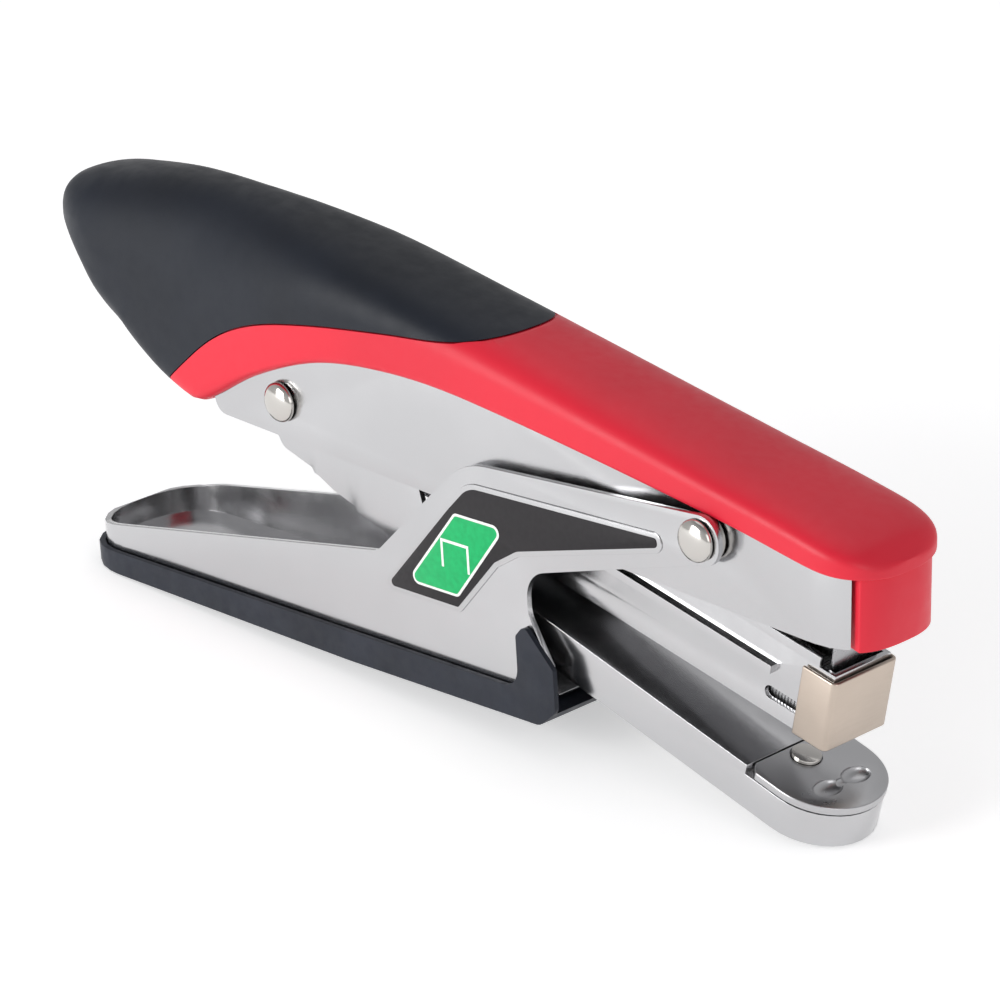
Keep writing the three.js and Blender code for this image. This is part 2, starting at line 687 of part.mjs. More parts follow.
// The block across the rear of the magazine that holds the guide rod.
function rearStop() {
  const x0 = FLOOR_REAR + 1;
  return cut(
    bar(x0, x0 + 3, MAGAZINE_IN - GAP, CORE_TOP + GAP, MAGAZINE_TOP - 1),
    solid(
      new THREE.CylinderGeometry(ROD_RADIUS + GAP, ROD_RADIUS + GAP, 40, 16)
        .rotateZ(Math.PI / 2)
        .translate(x0, 0, ROD_HEIGHT),
    ),
  );
}

// Coil spring on the guide rod between the rear stop and the follower.
function followerSpring() {
  const coil = 2.2;
  const thin = 0.3;
  const x0 = FLOOR_REAR + 4 + GAP + thin;
  const x1 = FOLLOWER_FRONT - FOLLOWER_LENGTH - GAP - thin;
  const turns = 11;
  const points = [];
  for (let i = 0; i <= 8 * turns; i += 1) {
    const turn = (i * Math.PI) / 4;
    const x = x0 + ((x1 - x0) * i) / (8 * turns);
    points.push(new THREE.Vector3(x, coil * Math.cos(turn), ROD_HEIGHT + coil * Math.sin(turn)));
  }
  return wire(new THREE.CatmullRomCurve3(points), thin, 8 * turns);
}

// ---------- Anvil arm, drawn along its own length from the rear pivot ----------

const ARM_PIVOT_OUT = MAGAZINE_OUT + SLIDE + ARM_WALL;
const ARM_STEPS = [7, 20, WEB_REAR];
const STEP_LENGTH = 1.6;
const ANVIL_HALF = ARM_FRONT_OUT + 0.2;
const ANVIL_CENTRE = ARM_LENGTH - ARM_FRONT_OUT;

// The plan of the arm: steps outwards from the narrow rear to the wide front with its round end.
function armPlan(inset) {
  const front = ARM_FRONT_OUT - inset;
  const edge = [[-20, ARM_PIVOT_OUT - inset]];
  const widths = [ARM_PIVOT_OUT, (ARM_PIVOT_OUT + ARM_REAR_OUT) / 2, ARM_REAR_OUT, ARM_FRONT_OUT];
  ARM_STEPS.forEach((x, i) => {
    edge.push([x, widths[i] - inset], [x + STEP_LENGTH, widths[i + 1] - inset]);
  });
  const shape = new THREE.Shape();
  edge.forEach(([x, y], i) => (i ? shape.lineTo(x, -y) : shape.moveTo(x, -y)));
  shape.lineTo(ANVIL_CENTRE, -front);
  shape.absarc(ANVIL_CENTRE, 0, front, -Math.PI / 2, Math.PI / 2, false);
  edge.reverse().forEach(([x, y]) => shape.lineTo(x, y));
  shape.closePath();
  return solid(extrude(shape, 60, 9).translate(0, 0, -30));
}

function anvilArm() {
  const side = sideways(
    outline([
      [-4, -9, 3],
      [-1, -11.5, 3],
      [10, -11.5, 3],
      [14, -12.2, 3],
      [46, -12.6, 20],
      [70, ARM_BOTTOM, 30],
      [NOSE_REACH, ARM_BOTTOM],
      [NOSE_REACH, ARM_TOP],
      [39.5, ARM_TOP, 3],
      [33.5, 4, 4],
      [-4.5, 5, 4],
    ]),
    -20,
    20,
    4,
  );
  const anvilSeat = upright(
    outline([
      [ARM_LENGTH - ANVIL_LENGTH - GAP, -20],
      [NOSE_REACH, -20],
      [NOSE_REACH, 20],
      [ARM_LENGTH - ANVIL_LENGTH - GAP, 20],
    ]),
    ARM_TOP - ANVIL_THICK - GAP,
    10,
  );
  const inside = armPlan(ARM_WALL).intersect(bar(-30, NOSE_REACH, 20, -40, ARM_TOP - ARM_WALL));
  const seatRear = ARM_LENGTH - ANVIL_LENGTH - 6;
  const underSeat = bar(seatRear, NOSE_REACH, 20, -40, ARM_TOP - ANVIL_THICK - 2 * ARM_WALL);
  const hollow = join(
    inside.subtract(bar(seatRear, NOSE_REACH, 20, -40, 40)),
    armPlan(ARM_WALL).intersect(underSeat),
  );
  const rearOpen = armPlan(ARM_WALL).intersect(bar(-30, WEB_REAR + 3, 20, -40, 40));
  return cut(
    side.intersect(armPlan(0)),
    hollow,
    rearOpen,
    anvilSeat,
    pin(REAR_PIN_RADIUS + GAP, -20, 20),
    post(ANVIL_RIVET_SHANK + GAP, ANVIL_RIVET_X, 0, -40, 10),
  );
}

const ANVIL_RIVET_X = ARM_LENGTH - 15.2;
const ANVIL_RIVET_SHANK = 1.6;
const ANVIL_RIVET_HEAD = 2.7;
const CLINCH_X = ARM_LENGTH - 6.8;

function anvilPlate() {
  const shape = new THREE.Shape();
  const rear = ARM_LENGTH - ANVIL_LENGTH;
  shape.moveTo(rear, -ANVIL_HALF + 2);
  shape.lineTo(rear + 2, -ANVIL_HALF);
  shape.lineTo(ANVIL_CENTRE, -ANVIL_HALF);
  shape.absarc(ANVIL_CENTRE, 0, ANVIL_HALF, -Math.PI / 2, Math.PI / 2, false);
  shape.lineTo(rear + 2, ANVIL_HALF);
  shape.lineTo(rear, ANVIL_HALF - 2);
  shape.closePath();
  const plate = solid(extrude(shape, ANVIL_THICK, 9).translate(0, 0, ARM_TOP - ANVIL_THICK));
  const lobes = [-1, 1].map((side) =>
    post(1, 0, 0, -0.8, 2, 16)
      .scale([1.9, 3, 1])
      .translate([CLINCH_X, side * 3.2, ARM_TOP]),
  );
  return cut(
    plate,
    ...lobes,
    post(ANVIL_RIVET_SHANK + GAP, ANVIL_RIVET_X, 0, -40, 10),
    post(ANVIL_RIVET_HEAD + 0.2, ANVIL_RIVET_X, 0, ARM_TOP - 0.7, 10),
  );
}

function anvilRivet() {
  const lowHead = ARM_TOP - ANVIL_THICK - 2 * ARM_WALL - GAP;
  return join(
    post(ANVIL_RIVET_SHANK, ANVIL_RIVET_X, 0, lowHead - 1, ARM_TOP),
    post(ANVIL_RIVET_HEAD, ANVIL_RIVET_X, 0, ARM_TOP - 0.5, ARM_TOP + 0.7),
    post(ANVIL_RIVET_HEAD, ANVIL_RIVET_X, 0, lowHead - 1, lowHead),
  );
}

// ---------- Lower handle, drawn from the front pivot ----------

const frameSide = outline([
  [-HANDLE_REACH + 0.5, FRAME_BOTTOM, 2],
  [TOE_X - 2, FRAME_BOTTOM, 3],
  [TOE_X, -33, 2],
  [ARCH_X, -24, 6],
  [ARCH_X, -16.3, 6],
  [-0.5, -LINK_RADIUS],
  [LINK_RADIUS, -LINK_RADIUS, LINK_RADIUS - 0.4],
  [LINK_RADIUS, LINK_RADIUS, LINK_RADIUS - 0.4],
  [-57, 1.2, 16],
  [-81, -21, 4],
  [-HANDLE_REACH + 5, -34.6, 3],
  [-HANDLE_REACH, -34.6, 1],
]);

// The plan of the lower handle with its round rear end, drawn in by inset.
function lowerPlan(half, rear, round) {
  const shape = new THREE.Shape();
  const steps = 14;
  shape.moveTo(40, -half);
  shape.lineTo(40, half);
  for (let i = 0; i <= steps; i += 1) {
    const turn = Math.PI / 2 + (Math.PI * i) / steps;
    const [x, y] = [Math.cos(turn), Math.sin(turn)];
    const stretch = (Math.abs(x) ** 2.5 + Math.abs(y) ** 2.5) ** (-1 / 2.5);
    shape.lineTo(rear + round + round * x * stretch, half * y * stretch);
  }
  shape.closePath();
  return shape;
}

const REAR_ROUND = 12;

function lowerFrame() {
  const outer = upright(lowerPlan(PLATE_OUT, -HANDLE_REACH, REAR_ROUND), -60, 20).intersect(
    sideways(frameSide, -20, 20, 4),
  );
  const inner = upright(
    lowerPlan(PLATE_IN, -HANDLE_REACH + PLATE_WALL, REAR_ROUND - PLATE_WALL),
    FRAME_BOTTOM + PLATE_WALL,
    30,
  );
  return cut(outer, inner, pin(FRONT_PIN_RADIUS + GAP, -20, 20));
}

const HEEL_LENGTH = 12;

// Height of the bench below the front pivot, at x in the lower handle's own frame.
const benchHeight = (x) =>
  -(REAR_PIVOT_HEIGHT + FRONT_PIVOT_RISE + x * Math.sin(LOWER_TILT * DEG)) / Math.cos(LOWER_TILT * DEG);

function rubberBase() {
  const [rear, front] = [-HANDLE_REACH - RUBBER_WALL - GAP, TOE_X + 1.6];
  const side = outline([
    [rear, benchHeight(rear), 2],
    [rear + HEEL_LENGTH, benchHeight(rear + HEEL_LENGTH)],
    [-90, RUBBER_BOTTOM - 0.4, 60],
    [front - 4, RUBBER_BOTTOM, 3],
    [front, RUBBER_BOTTOM + 3.4, 2],
    [front, -32.4, 1],
    [ARCH_X, -25.6, 1.2],
    [-44.6, -28, 1],
    [-44.6, RUBBER_TOP, 4],
    [rear, RUBBER_TOP - 0.6, 1.4],
  ]);
  const outer = upright(lowerPlan(RUBBER_OUT, rear, REAR_ROUND + RUBBER_WALL), -60, 20).intersect(
    sideways(side, -20, 20, 4),
  );
  const frameRoom = upright(
    lowerPlan(RUBBER_IN, -HANDLE_REACH - GAP, REAR_ROUND + GAP),
    FRAME_BOTTOM - GAP,
    30,
  );
  return outer.subtract(frameRoom);
}

// The height of the arm's underside over x, in the lower handle's frame.
function armUnderside(x) {
  const below = ARM_BOTTOM / Math.cos(ARM_DROP * DEG) - FRONT_PIVOT_RISE;
  const drop = below - Math.tan(ARM_DROP * DEG) * PIVOT_SPACING;
  const [x0, z0] = [drop * Math.sin(LOWER_TILT * DEG), drop * Math.cos(LOWER_TILT * DEG)];
  return z0 - Math.tan((ARM_DROP + LOWER_TILT) * DEG) * (x - x0);
}

const LIFT_CLEARANCE = 1;
const STRIP_THICK = 1.4;
const STRIP_PEAK_X = -49;

// The bent strip on the frame's floor that lifts the arm.
function liftStrip() {
  const floor = FRAME_BOTTOM + PLATE_WALL + GAP;
  const shoulder = armUnderside(STRIP_PEAK_X) - LIFT_CLEARANCE - 1.1 - STRIP_THICK;
  const shape = new THREE.Shape();
  shape.moveTo(-76, floor);
  shape.lineTo(-62, floor);
  shape.quadraticCurveTo(-56, floor, -52, shoulder);
  shape.quadraticCurveTo(STRIP_PEAK_X, shoulder + 2, -46, shoulder + 0.3);
  shape.lineTo(TOE_X - 2, floor);
  shape.lineTo(TOE_X - 0.6, floor + STRIP_THICK / 2);
  shape.lineTo(-45.2, shoulder + 0.3 + STRIP_THICK);
  shape.quadraticCurveTo(STRIP_PEAK_X, shoulder + 2.2 + STRIP_THICK, -53, shoulder + STRIP_THICK);
  shape.quadraticCurveTo(-57, floor + STRIP_THICK, -62, floor + STRIP_THICK);
  shape.lineTo(-76, floor + STRIP_THICK);
  shape.closePath();
  return sideways(shape, -PLATE_IN + 1, PLATE_IN - 1);
}

const panelSide = outline([
  [-78.4, -26.7, 0.8],
  [-60, -26.7, 0.6],
  [-49.9, -15.9, 2],
  [-44, -12.4, 5],
  [-9.2, -3.5, 0.8],
  [-9.6, -1.9, 0.6],
  [-54, -4.2, 5],
  [-60, -7, 3],
]);

const labelSide = outline([
  [-59.4, -8.7, 1],
  [-46.4, -8.7, 1],
  [-59.6, -24.7, 1],
  [-73.1, -24.7, 1],
]);

const LABEL_THICK = 0.3;
const LABEL_GAP = 0.12;

function label(shape, inner, side) {
  const flat = sideways(shape, inner, inner + LABEL_THICK);
  return side > 0 ? flat : flat.mirror([0, 1, 0]);
}

// ---------- Assembly ----------

const stapler = new THREE.Group();

const upperHandle = new THREE.Group();
upperHandle.position.set(REAR_PIVOT_X, 0, REAR_PIVOT_HEIGHT);
const skin = handleSkin(0, 0);
const blade = new THREE.Group();
blade.rotation.y = BLADE_DROP * DEG;
blade.add(piece("driver_blade", SPRING_STEEL, driverBlade()));
blade.add(piece("driver_bracket", CHROME, driverBracket()));
upperHandle.add(
  piece("handle_cover", RED, handleCover(skin)),
  piece("grip_pad", BLACK_GRIP, gripPad(skin)),
  piece("handle_channel", CHROME, handleChannel()),
  piece("rear_pivot_rivet", NICKEL, rivet(REAR_PIN_RADIUS, HEAD_RADIUS, HEAD_RISE, CHANNEL_OUT + GAP)),
  piece("return_spring", SPRING_STEEL, returnSpring()),
  piece("magazine_spring", SPRING_STEEL, magazineSpring()),
  blade,
);
SCREW_PLACES.forEach((x, i) => {
  upperHandle.add(piece(`cover_screw_${i + 1}`, SPRING_STEEL, coverScrew(x)));
});
const frontPivot = new THREE.Group();
frontPivot.position.set(PIVOT_SPACING, 0, FRONT_PIVOT_RISE);
frontPivot.add(
  piece("front_pivot_rivet", NICKEL, rivet(FRONT_PIN_RADIUS, HEAD_RADIUS, HEAD_RISE, PLATE_OUT + GAP)),
  piece("front_spacer_left", NICKEL, frontSpacer(1)),
  piece("front_spacer_right", NICKEL, frontSpacer(-1)),
);
upperHandle.add(frontPivot);

const magazine = new THREE.Group();
magazine.position.copy(upperHandle.position);
magazine.rotation.y = MAGAZINE_DROP * DEG;
magazine.add(
  piece("magazine_channel", CHROME, magazineChannel()),
  piece("nose_block", NICKEL, noseBlock()),
  piece("staple_core", CHROME, stapleCore()),
  piece("staple_strip", STAPLE_STEEL, stapleStrip()),
  piece("staple_follower", CHROME, stapleFollower()),
  piece("guide_rod", SPRING_STEEL, guideRod()),
  piece("rear_stop", CHROME, rearStop()),
  piece("follower_spring", SPRING_STEEL, followerSpring()),
);

const arm = new THREE.Group();
arm.position.copy(upperHandle.position);
arm.rotation.y = ARM_DROP * DEG;
arm.add(
  piece("anvil_arm", CHROME, anvilArm()),
  piece("anvil_plate", CHROME, anvilPlate()),
  piece("anvil_rivet", NICKEL, anvilRivet()),
);

const lowerHandle = new THREE.Group();
lowerHandle.position.set(REAR_PIVOT_X + PIVOT_SPACING, 0, REAR_PIVOT_HEIGHT + FRONT_PIVOT_RISE);
lowerHandle.rotation.y = -LOWER_TILT * DEG;
lowerHandle.add(
  piece("lower_frame", CHROME, lowerFrame()),
  piece("rubber_base", RUBBER, rubberBase()),
  piece("lift_strip", CHROME, liftStrip()),
);
[
  ["left", 1],
  ["right", -1],
].forEach(([word, side]) => {
  const panelY = PLATE_OUT + LABEL_GAP;
  const labelY = panelY + LABEL_THICK + LABEL_GAP;
  lowerHandle.add(piece(`label_panel_${word}`, BLACK_LABEL, label(panelSide, panelY, side)));
  lowerHandle.add(piece(`staple_label_${word}`, GREEN_LABEL, label(labelSide, labelY, side)));
});

stapler.add(upperHandle, magazine, arm, lowerHandle);

export default stapler;
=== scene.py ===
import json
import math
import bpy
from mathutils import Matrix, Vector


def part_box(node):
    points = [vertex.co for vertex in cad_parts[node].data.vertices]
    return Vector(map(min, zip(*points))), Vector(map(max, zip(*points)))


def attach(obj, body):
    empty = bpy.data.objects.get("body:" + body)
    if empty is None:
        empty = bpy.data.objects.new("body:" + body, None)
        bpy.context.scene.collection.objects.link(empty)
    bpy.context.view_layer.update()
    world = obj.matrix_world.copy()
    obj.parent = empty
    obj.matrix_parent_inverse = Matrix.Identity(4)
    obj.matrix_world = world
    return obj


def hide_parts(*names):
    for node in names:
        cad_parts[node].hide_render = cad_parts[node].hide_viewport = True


bl_info = {
    "name": "Plier stapler",
    "version": (1, 0, 0),
    "blender": (4, 5, 0),
    "location": "3D View > Sidebar > Stapler",
    "description": "Builds the finished look of a plier stapler on its packed frame",
    "category": "Object",
}

import bmesh
import bpy
from bpy.props import FloatProperty, FloatVectorProperty, IntProperty, PointerProperty
from mathutils import Matrix, Vector

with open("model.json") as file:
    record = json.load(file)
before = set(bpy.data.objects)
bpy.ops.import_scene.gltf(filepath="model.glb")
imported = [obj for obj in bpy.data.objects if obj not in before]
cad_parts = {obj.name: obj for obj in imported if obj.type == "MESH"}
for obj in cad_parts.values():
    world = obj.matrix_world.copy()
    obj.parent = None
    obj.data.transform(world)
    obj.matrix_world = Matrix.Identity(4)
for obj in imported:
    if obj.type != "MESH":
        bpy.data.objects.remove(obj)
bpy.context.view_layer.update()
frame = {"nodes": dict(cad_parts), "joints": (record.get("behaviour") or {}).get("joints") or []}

# ---------- Places on the frame ----------

MM = 0.001
JOINTS = {joint["name"]: joint for joint in frame["joints"]}
REAR_PIVOT = Vector(JOINTS["arm_lift"]["pos_m"])
FRONT_PIVOT = Vector(JOINTS["handle_squeeze"]["pos_m"])
PIVOT_SPACING = (FRONT_PIVOT.x - REAR_PIVOT.x) / MM
FRONT_PIVOT_RISE = (FRONT_PIVOT.z - REAR_PIVOT.z) / MM


def frame_at(pivot, drop):
    """Matrix from millimetres in a frame tilted down by degrees to metres on the stapler."""
    tilt = Matrix.Rotation(math.radians(drop), 4, "Y")
    return Matrix.Translation(pivot) @ tilt @ Matrix.Scale(MM, 4)


UPPER = frame_at(REAR_PIVOT, 0)
MAGAZINE = frame_at(REAR_PIVOT, 10.4)
ARM = frame_at(REAR_PIVOT, 14)
LOWER = frame_at(FRONT_PIVOT, -3.4)

# Upper handle, in millimetres from the rear pivot
NOSE_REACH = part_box("handle_cover")[1].x / MM - REAR_PIVOT.x / MM
TAIL_REACH = REAR_PIVOT.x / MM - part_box("grip_pad")[0].x / MM
NOSE_ROUND = 13
TAIL_ROUND = 24
COVER_IN = 11.9
COVER_OUT = 12.9
CHANNEL_OUT = 11.6
CHANNEL_BOTTOM = -7
WEB_NOSE_Z = 7
COVER_WALL = 2.8
BED_DEPTH = 1.5
PAD_WALL = 1.2
GRIP_TIP = 57
SKIRT_LENGTH = 6.2
SKIRT_HALF = 9
GAP = 0.3

# Anvil, in millimetres in the arm's own frame
ARM_LENGTH = 139.6
ANVIL_HALF = 11.2
ANVIL_TOP = -5.6
ANVIL_THICK = 1.5
ANVIL_RIVET_X = ARM_LENGTH - 15.2
ANVIL_HOLE = 1.9
ANVIL_HEAD = 2.7
HEAD_SINK = 0.7
POCKET_X = 132.8

# Inside the magazine, in millimetres in its own frame
STAPLE_HALF = 5.55
STAPLE_LEG = 6.5
STAPLE_WIRE = 0.7
STAPLE_FOOT = -3.3
STICK_FRONT = 129.4
STICK_LENGTH = 50
ROD_HEIGHT = 6.6
ROD_REACH = (37.5, 119.4)
PUSH_REACH = (40.6, 69.5)

# Half widths of the lower handle and the channel, in metres
PLATE_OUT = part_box("lower_frame")[1].y
CHANNEL_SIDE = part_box("handle_channel")[1].y


# ---------- Curves and outlines ----------


def smooth_profile(points):
    """A height that runs smoothly through points (x, z) with rising x."""

    def slope(j):
        before, after = points[max(0, j - 1)], points[min(len(points) - 1, j + 1)]
        return (after[1] - before[1]) / (after[0] - before[0])

    def height(x):
        at = min(max(x, points[0][0]), points[-1][0])
        i = next((k for k in range(len(points) - 1) if points[k + 1][0] >= at), len(points) - 2)
        (x0, z0), (x1, z1) = points[i], points[i + 1]
        width = x1 - x0
        t = (at - x0) / width
        rise = t * t * (3 - 2 * t)
        lead = t * (1 - t) ** 2 * width
        trail = t * t * (t - 1) * width
        return z0 + (z1 - z0) * rise + slope(i) * lead + slope(i + 1) * trail

    return height


cover_top = smooth_profile(
    [
        (-TAIL_REACH, 20.8),
        (-TAIL_REACH + 1.6, 25),
        (-TAIL_REACH + 5, 27.9),
        (-TAIL_REACH + 15.6, 30.6),
        (-36.1, 33.2),
        (-11.1, 33.4),
        (13.9, 31.2),
        (39.9, 27.5),
        (NOSE_REACH - 38, 17.5),
        (NOSE_REACH - 13, 13.6),
        (NOSE_REACH - 4, 10.9),
        (NOSE_REACH, 7.7),
    ]
)
cover_bottom = smooth_profile(
    [
        (-TAIL_REACH, 20.4),
        (-TAIL_REACH + 2, 17.4),
        (-TAIL_REACH + 7.5, 13.9),
        (-52.1, 4.6),
        (-36.1, -2.9),
        (-24, -6.2),
        (-20.6, -5.4),
        (-6.2, 3.4),
        (10.9, 10.3),
        (28.8, 13.1),
        (49.7, 13.4),
        (PIVOT_SPACING + 2.2, FRONT_PIVOT_RISE + 3.5),
        (NOSE_REACH - 9.5, 6),
        (NOSE_REACH, 5.6),
    ]
)
cover_half_width = smooth_profile(
    [
        (-TAIL_REACH + TAIL_ROUND, COVER_OUT + 1),
        (-25, COVER_OUT + 1.3),
        (5, COVER_OUT + 1.3),
        (38, COVER_OUT),
        (NOSE_REACH, COVER_OUT),
    ]
)


def round_off(u, power):
    """The height over u of a superellipse of unit size."""
    return max(0, 1 - abs(u) ** power) ** (1 / power)


def end_round(x, inset):
    """The share of the full half width that is left near the rounded tail and nose."""
    tail = (-TAIL_REACH + TAIL_ROUND - x) / (TAIL_ROUND - inset)
    nose = (x - NOSE_REACH + NOSE_ROUND) / (NOSE_ROUND - inset)
    return round_off(max(0, tail), 2.2) * round_off(max(0, nose), 2.7)


def signed_power(value, power):
    return math.copysign(abs(value) ** power, value)


def outline(corners, steps=8):
    """Points of a closed outline through corners (u, v, radius), each rounded by a tangent arc."""
    points = []
    for i, (u, v, radius) in enumerate(corners):
        corner = Vector((u, v))
        back = (Vector(corners[i - 1][:2]) - corner).normalized()
        ahead = (Vector(corners[(i + 1) % len(corners)][:2]) - corner).normalized()
        if not radius:
            points.append(corner)
            continue
        half = math.acos(max(-1, min(1, back.dot(ahead)))) / 2
        centre = corner + (back + ahead).normalized() * (radius / math.sin(half))
        start = corner + back * (radius / math.tan(half)) - centre
        end = corner + ahead * (radius / math.tan(half)) - centre
        turn = math.atan2(start.x * end.y - start.y * end.x, start.dot(end))
        for k in range(steps + 1):
            points.append(centre + Matrix.Rotation(turn * k / steps, 2) @ start)
    return points


def grown(points, margin):
    """The outline moved outwards by a margin, or inwards by a negative one."""
    area = sum(a.x * b.y - a.y * b.x for a, b in zip(points, points[1:] + points[:1]))
    side = margin if area > 0 else -margin
    moved = []
    for i, point in enumerate(points):
        before, after = points[i - 1], points[(i + 1) % len(points)]
        if (point - before).length < 1e-6 or (after - point).length < 1e-6:
            continue
        normals = [Vector((d.y, -d.x)).normalized() for d in (point - before, after - point)]
        middle = (normals[0] + normals[1]).normalized()
        moved.append(point + middle * side / max(0.4, middle.dot(normals[0])))
    return moved


def channel_plan(inset, steps=40):
    """The plan of the channel with its rounded nose, drawn in by inset."""
    half = CHANNEL_OUT - inset
    start = NOSE_REACH - NOSE_ROUND
    reach = NOSE_ROUND - (COVER_OUT - CHANNEL_OUT) - inset
    points = [Vector((-TAIL_REACH, half)), Vector((-TAIL_REACH, -half))]
    for i in range(steps + 1):
        turn = -math.pi / 2 + math.pi * i / steps
        x, y = math.cos(turn), math.sin(turn)
        stretch = (abs(x) ** 2.7 + abs(y) ** 2.7) ** (-1 / 2.7)
        points.append(Vector((start + reach * x * stretch, half * y * stretch)))
    return points


# ---------- Mesh helpers ----------


def mesh_of(work, name):
    """A mesh from a bmesh, its faces turned outwards."""
    bmesh.ops.recalc_face_normals(work, faces=work.faces)
    mesh = bpy.data.meshes.new(name)
    work.to_mesh(mesh)
    work.free()
    return mesh


def prism(points, lift, low, high, name):
    """A prism of an outline: lift turns (u, v, depth) into a point."""
    work = bmesh.new()
    rings = [[work.verts.new(lift(p.x, p.y, depth)) for p in points] for depth in (low, high)]
    work.faces.new(rings[0])
    work.faces.new(rings[1])
    count = len(points)
    for i in range(count):
        j = (i + 1) % count
        work.faces.new((rings[0][i], rings[0][j], rings[1][j], rings[1][i]))
    return mesh_of(work, name)


def sideways(u, v, depth):
    """A point of a side outline (x, z) at a depth along Y."""
    return Vector((u, depth, v))


def upright(u, v, depth):
    """A point of a plan (x, y) at a depth along Z."""
    return Vector((u, v, depth))


def turned(profile, name, sides=48):
    """A solid turned about Z from (radius, height) points, the first and last on the axis."""
    work = bmesh.new()
    first = work.verts.new((0, 0, profile[0][1]))
    last = work.verts.new((0, 0, profile[-1][1]))
    turns = [2 * math.pi * k / sides for k in range(sides)]
    rings = [
        [work.verts.new((radius * math.cos(t), radius * math.sin(t), height)) for t in turns]
        for radius, height in profile[1:-1]
    ]
    for k in range(sides):
        n = (k + 1) % sides
        work.faces.new((first, rings[0][k], rings[0][n]))
        work.faces.new((last, rings[-1][n], rings[-1][k]))
        for a, b in zip(rings, rings[1:]):
            work.faces.new((a[k], a[n], b[n], b[k]))
    return mesh_of(work, name)


def handle_skin(inset_y, inset_z, half_width, name, stations=120, around=80):
    """The pillow-shaped skin of the upper handle, drawn in at the sides and above and below."""
    work = bmesh.new()
    x0, x1 = -TAIL_REACH + inset_z, NOSE_REACH - inset_z
    rings = []
    for i in range(stations + 1):
        x = x0 + (x1 - x0) * (1 - math.cos(math.pi * i / stations)) / 2
        half = max(0.4, (half_width(x) - inset_y) * end_round(x, inset_z))
        top, bottom = cover_top(x) - inset_z, cover_bottom(x) + inset_z
        middle = bottom + min(10, 0.45 * (top - bottom))
        under = 2.6 + 7.4 * min(1, max(0, (x + 45) / 37))
        ring = []
        for k in range(around):
            turn = 2 * math.pi * k / around
            across, up = math.cos(turn), math.sin(turn)
            power = 2.5 if up > 0 else under
            reach = max(0.2, top - middle if up > 0 else middle - bottom)
            y = half * signed_power(across, 2 / power)
            ring.append(work.verts.new((x, y, middle + reach * signed_power(up, 2 / power))))
        rings.append(ring)
    for a, b in zip(rings, rings[1:]):
        for k in range(around):
            n = (k + 1) % around
            work.faces.new((a[k], a[n], b[n], b[k]))
    work.faces.new(rings[0])
    work.faces.new(rings[-1])
    return mesh_of(work, name)


def scratch_object(mesh):
    """A temporary object in the scene."""
    made = bpy.data.objects.new(mesh.name, mesh)
    bpy.context.scene.collection.objects.link(made)
    return made


def settled(body):
    """The plain mesh of a temporary object with its modifiers applied. The object is removed."""
    bpy.context.view_layer.update()
    evaluated = body.evaluated_get(bpy.context.evaluated_depsgraph_get())
    mesh = bpy.data.meshes.new_from_object(evaluated)
    bpy.data.objects.remove(body)
    return mesh


def combined(mesh, tools):
    """A mesh after exact booleans with (operation, mesh) tools, which are used up."""
    body = scratch_object(mesh)
    cutters = []
    for operation, tool in tools:
        cutters.append(scratch_object(tool))
        change = body.modifiers.new("Cut", "BOOLEAN")
        change.operation = operation
        change.solver = "EXACT"
        change.object = cutters[-1]
    result = settled(body)
    for cutter in cutters:
        bpy.data.objects.remove(cutter)
    return result


def rounded(mesh, radius, segments=2, corner=30):
    """A mesh with its sharp edges rounded, the radius in the mesh's own units."""
    body = scratch_object(mesh)
    bevel = body.modifiers.new("Edges", "BEVEL")
    bevel.width = radius
    bevel.segments = segments
    bevel.limit_method = "ANGLE"
    bevel.angle_limit = math.radians(corner)
    bevel.miter_outer = "MITER_ARC"
    return settled(body)


def joined(meshes, name):
    """One mesh from several."""
    work = bmesh.new()
    for mesh in meshes:
        work.from_mesh(mesh)
    return mesh_of(work, name)


def cleaned_node(node):
    """The mesh of a frame node with its flat faces made whole again."""
    work = bmesh.new()
    work.from_mesh(frame["nodes"][node].data)
    bmesh.ops.remove_doubles(work, verts=work.verts, dist=2e-6)
    flat = math.radians(0.6)
    bmesh.ops.dissolve_limit(work, angle_limit=flat, verts=work.verts, edges=work.edges)
    return mesh_of(work, node)


def finish_piece(name, mesh, place, material, body, nodes=(), crease=32):
    """Puts a mesh into the scene as a finished piece that rides on a body."""
    mesh.transform(place)
    mesh.name = name
    mesh.materials.clear()
    mesh.materials.append(material)
    for face in mesh.polygons:
        face.use_smooth = True
        face.material_index = 0
    mesh.set_sharp_from_angle(angle=math.radians(crease))
    piece = scratch_object(mesh)
    piece.name = name
    if nodes:
        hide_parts(*nodes)
    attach(piece, body)
    return piece


# ---------- Geometry node trees ----------


def node_tree(name, inputs):
    """An empty geometry tree with a geometry input and named inputs (name, socket type)."""
    tree = bpy.data.node_groups.new(name, "GeometryNodeTree")
    tree.interface.new_socket("Geometry", in_out="INPUT", socket_type="NodeSocketGeometry")
    for label, kind in inputs:
        tree.interface.new_socket(label, in_out="INPUT", socket_type=kind)
    tree.interface.new_socket("Geometry", in_out="OUTPUT", socket_type="NodeSocketGeometry")
    source = tree.nodes.new("NodeGroupInput")
    result = tree.nodes.new("NodeGroupOutput")
    return tree, source, result


def link(tree, *pairs):
    """Links pairs (output, input)."""
    for output, target in pairs:
        tree.links.new(output, target)


def end_tree(tree, geometry, result):
    """Realizes the instances, sets the material and closes the tree."""
    real = tree.nodes.new("GeometryNodeRealizeInstances")
    paint = tree.nodes.new("GeometryNodeSetMaterial")
    link(
        tree,
        (geometry, real.inputs[0]),
        (real.outputs[0], paint.inputs["Geometry"]),
        (paint.outputs[0], result.inputs[0]),
    )
    return paint


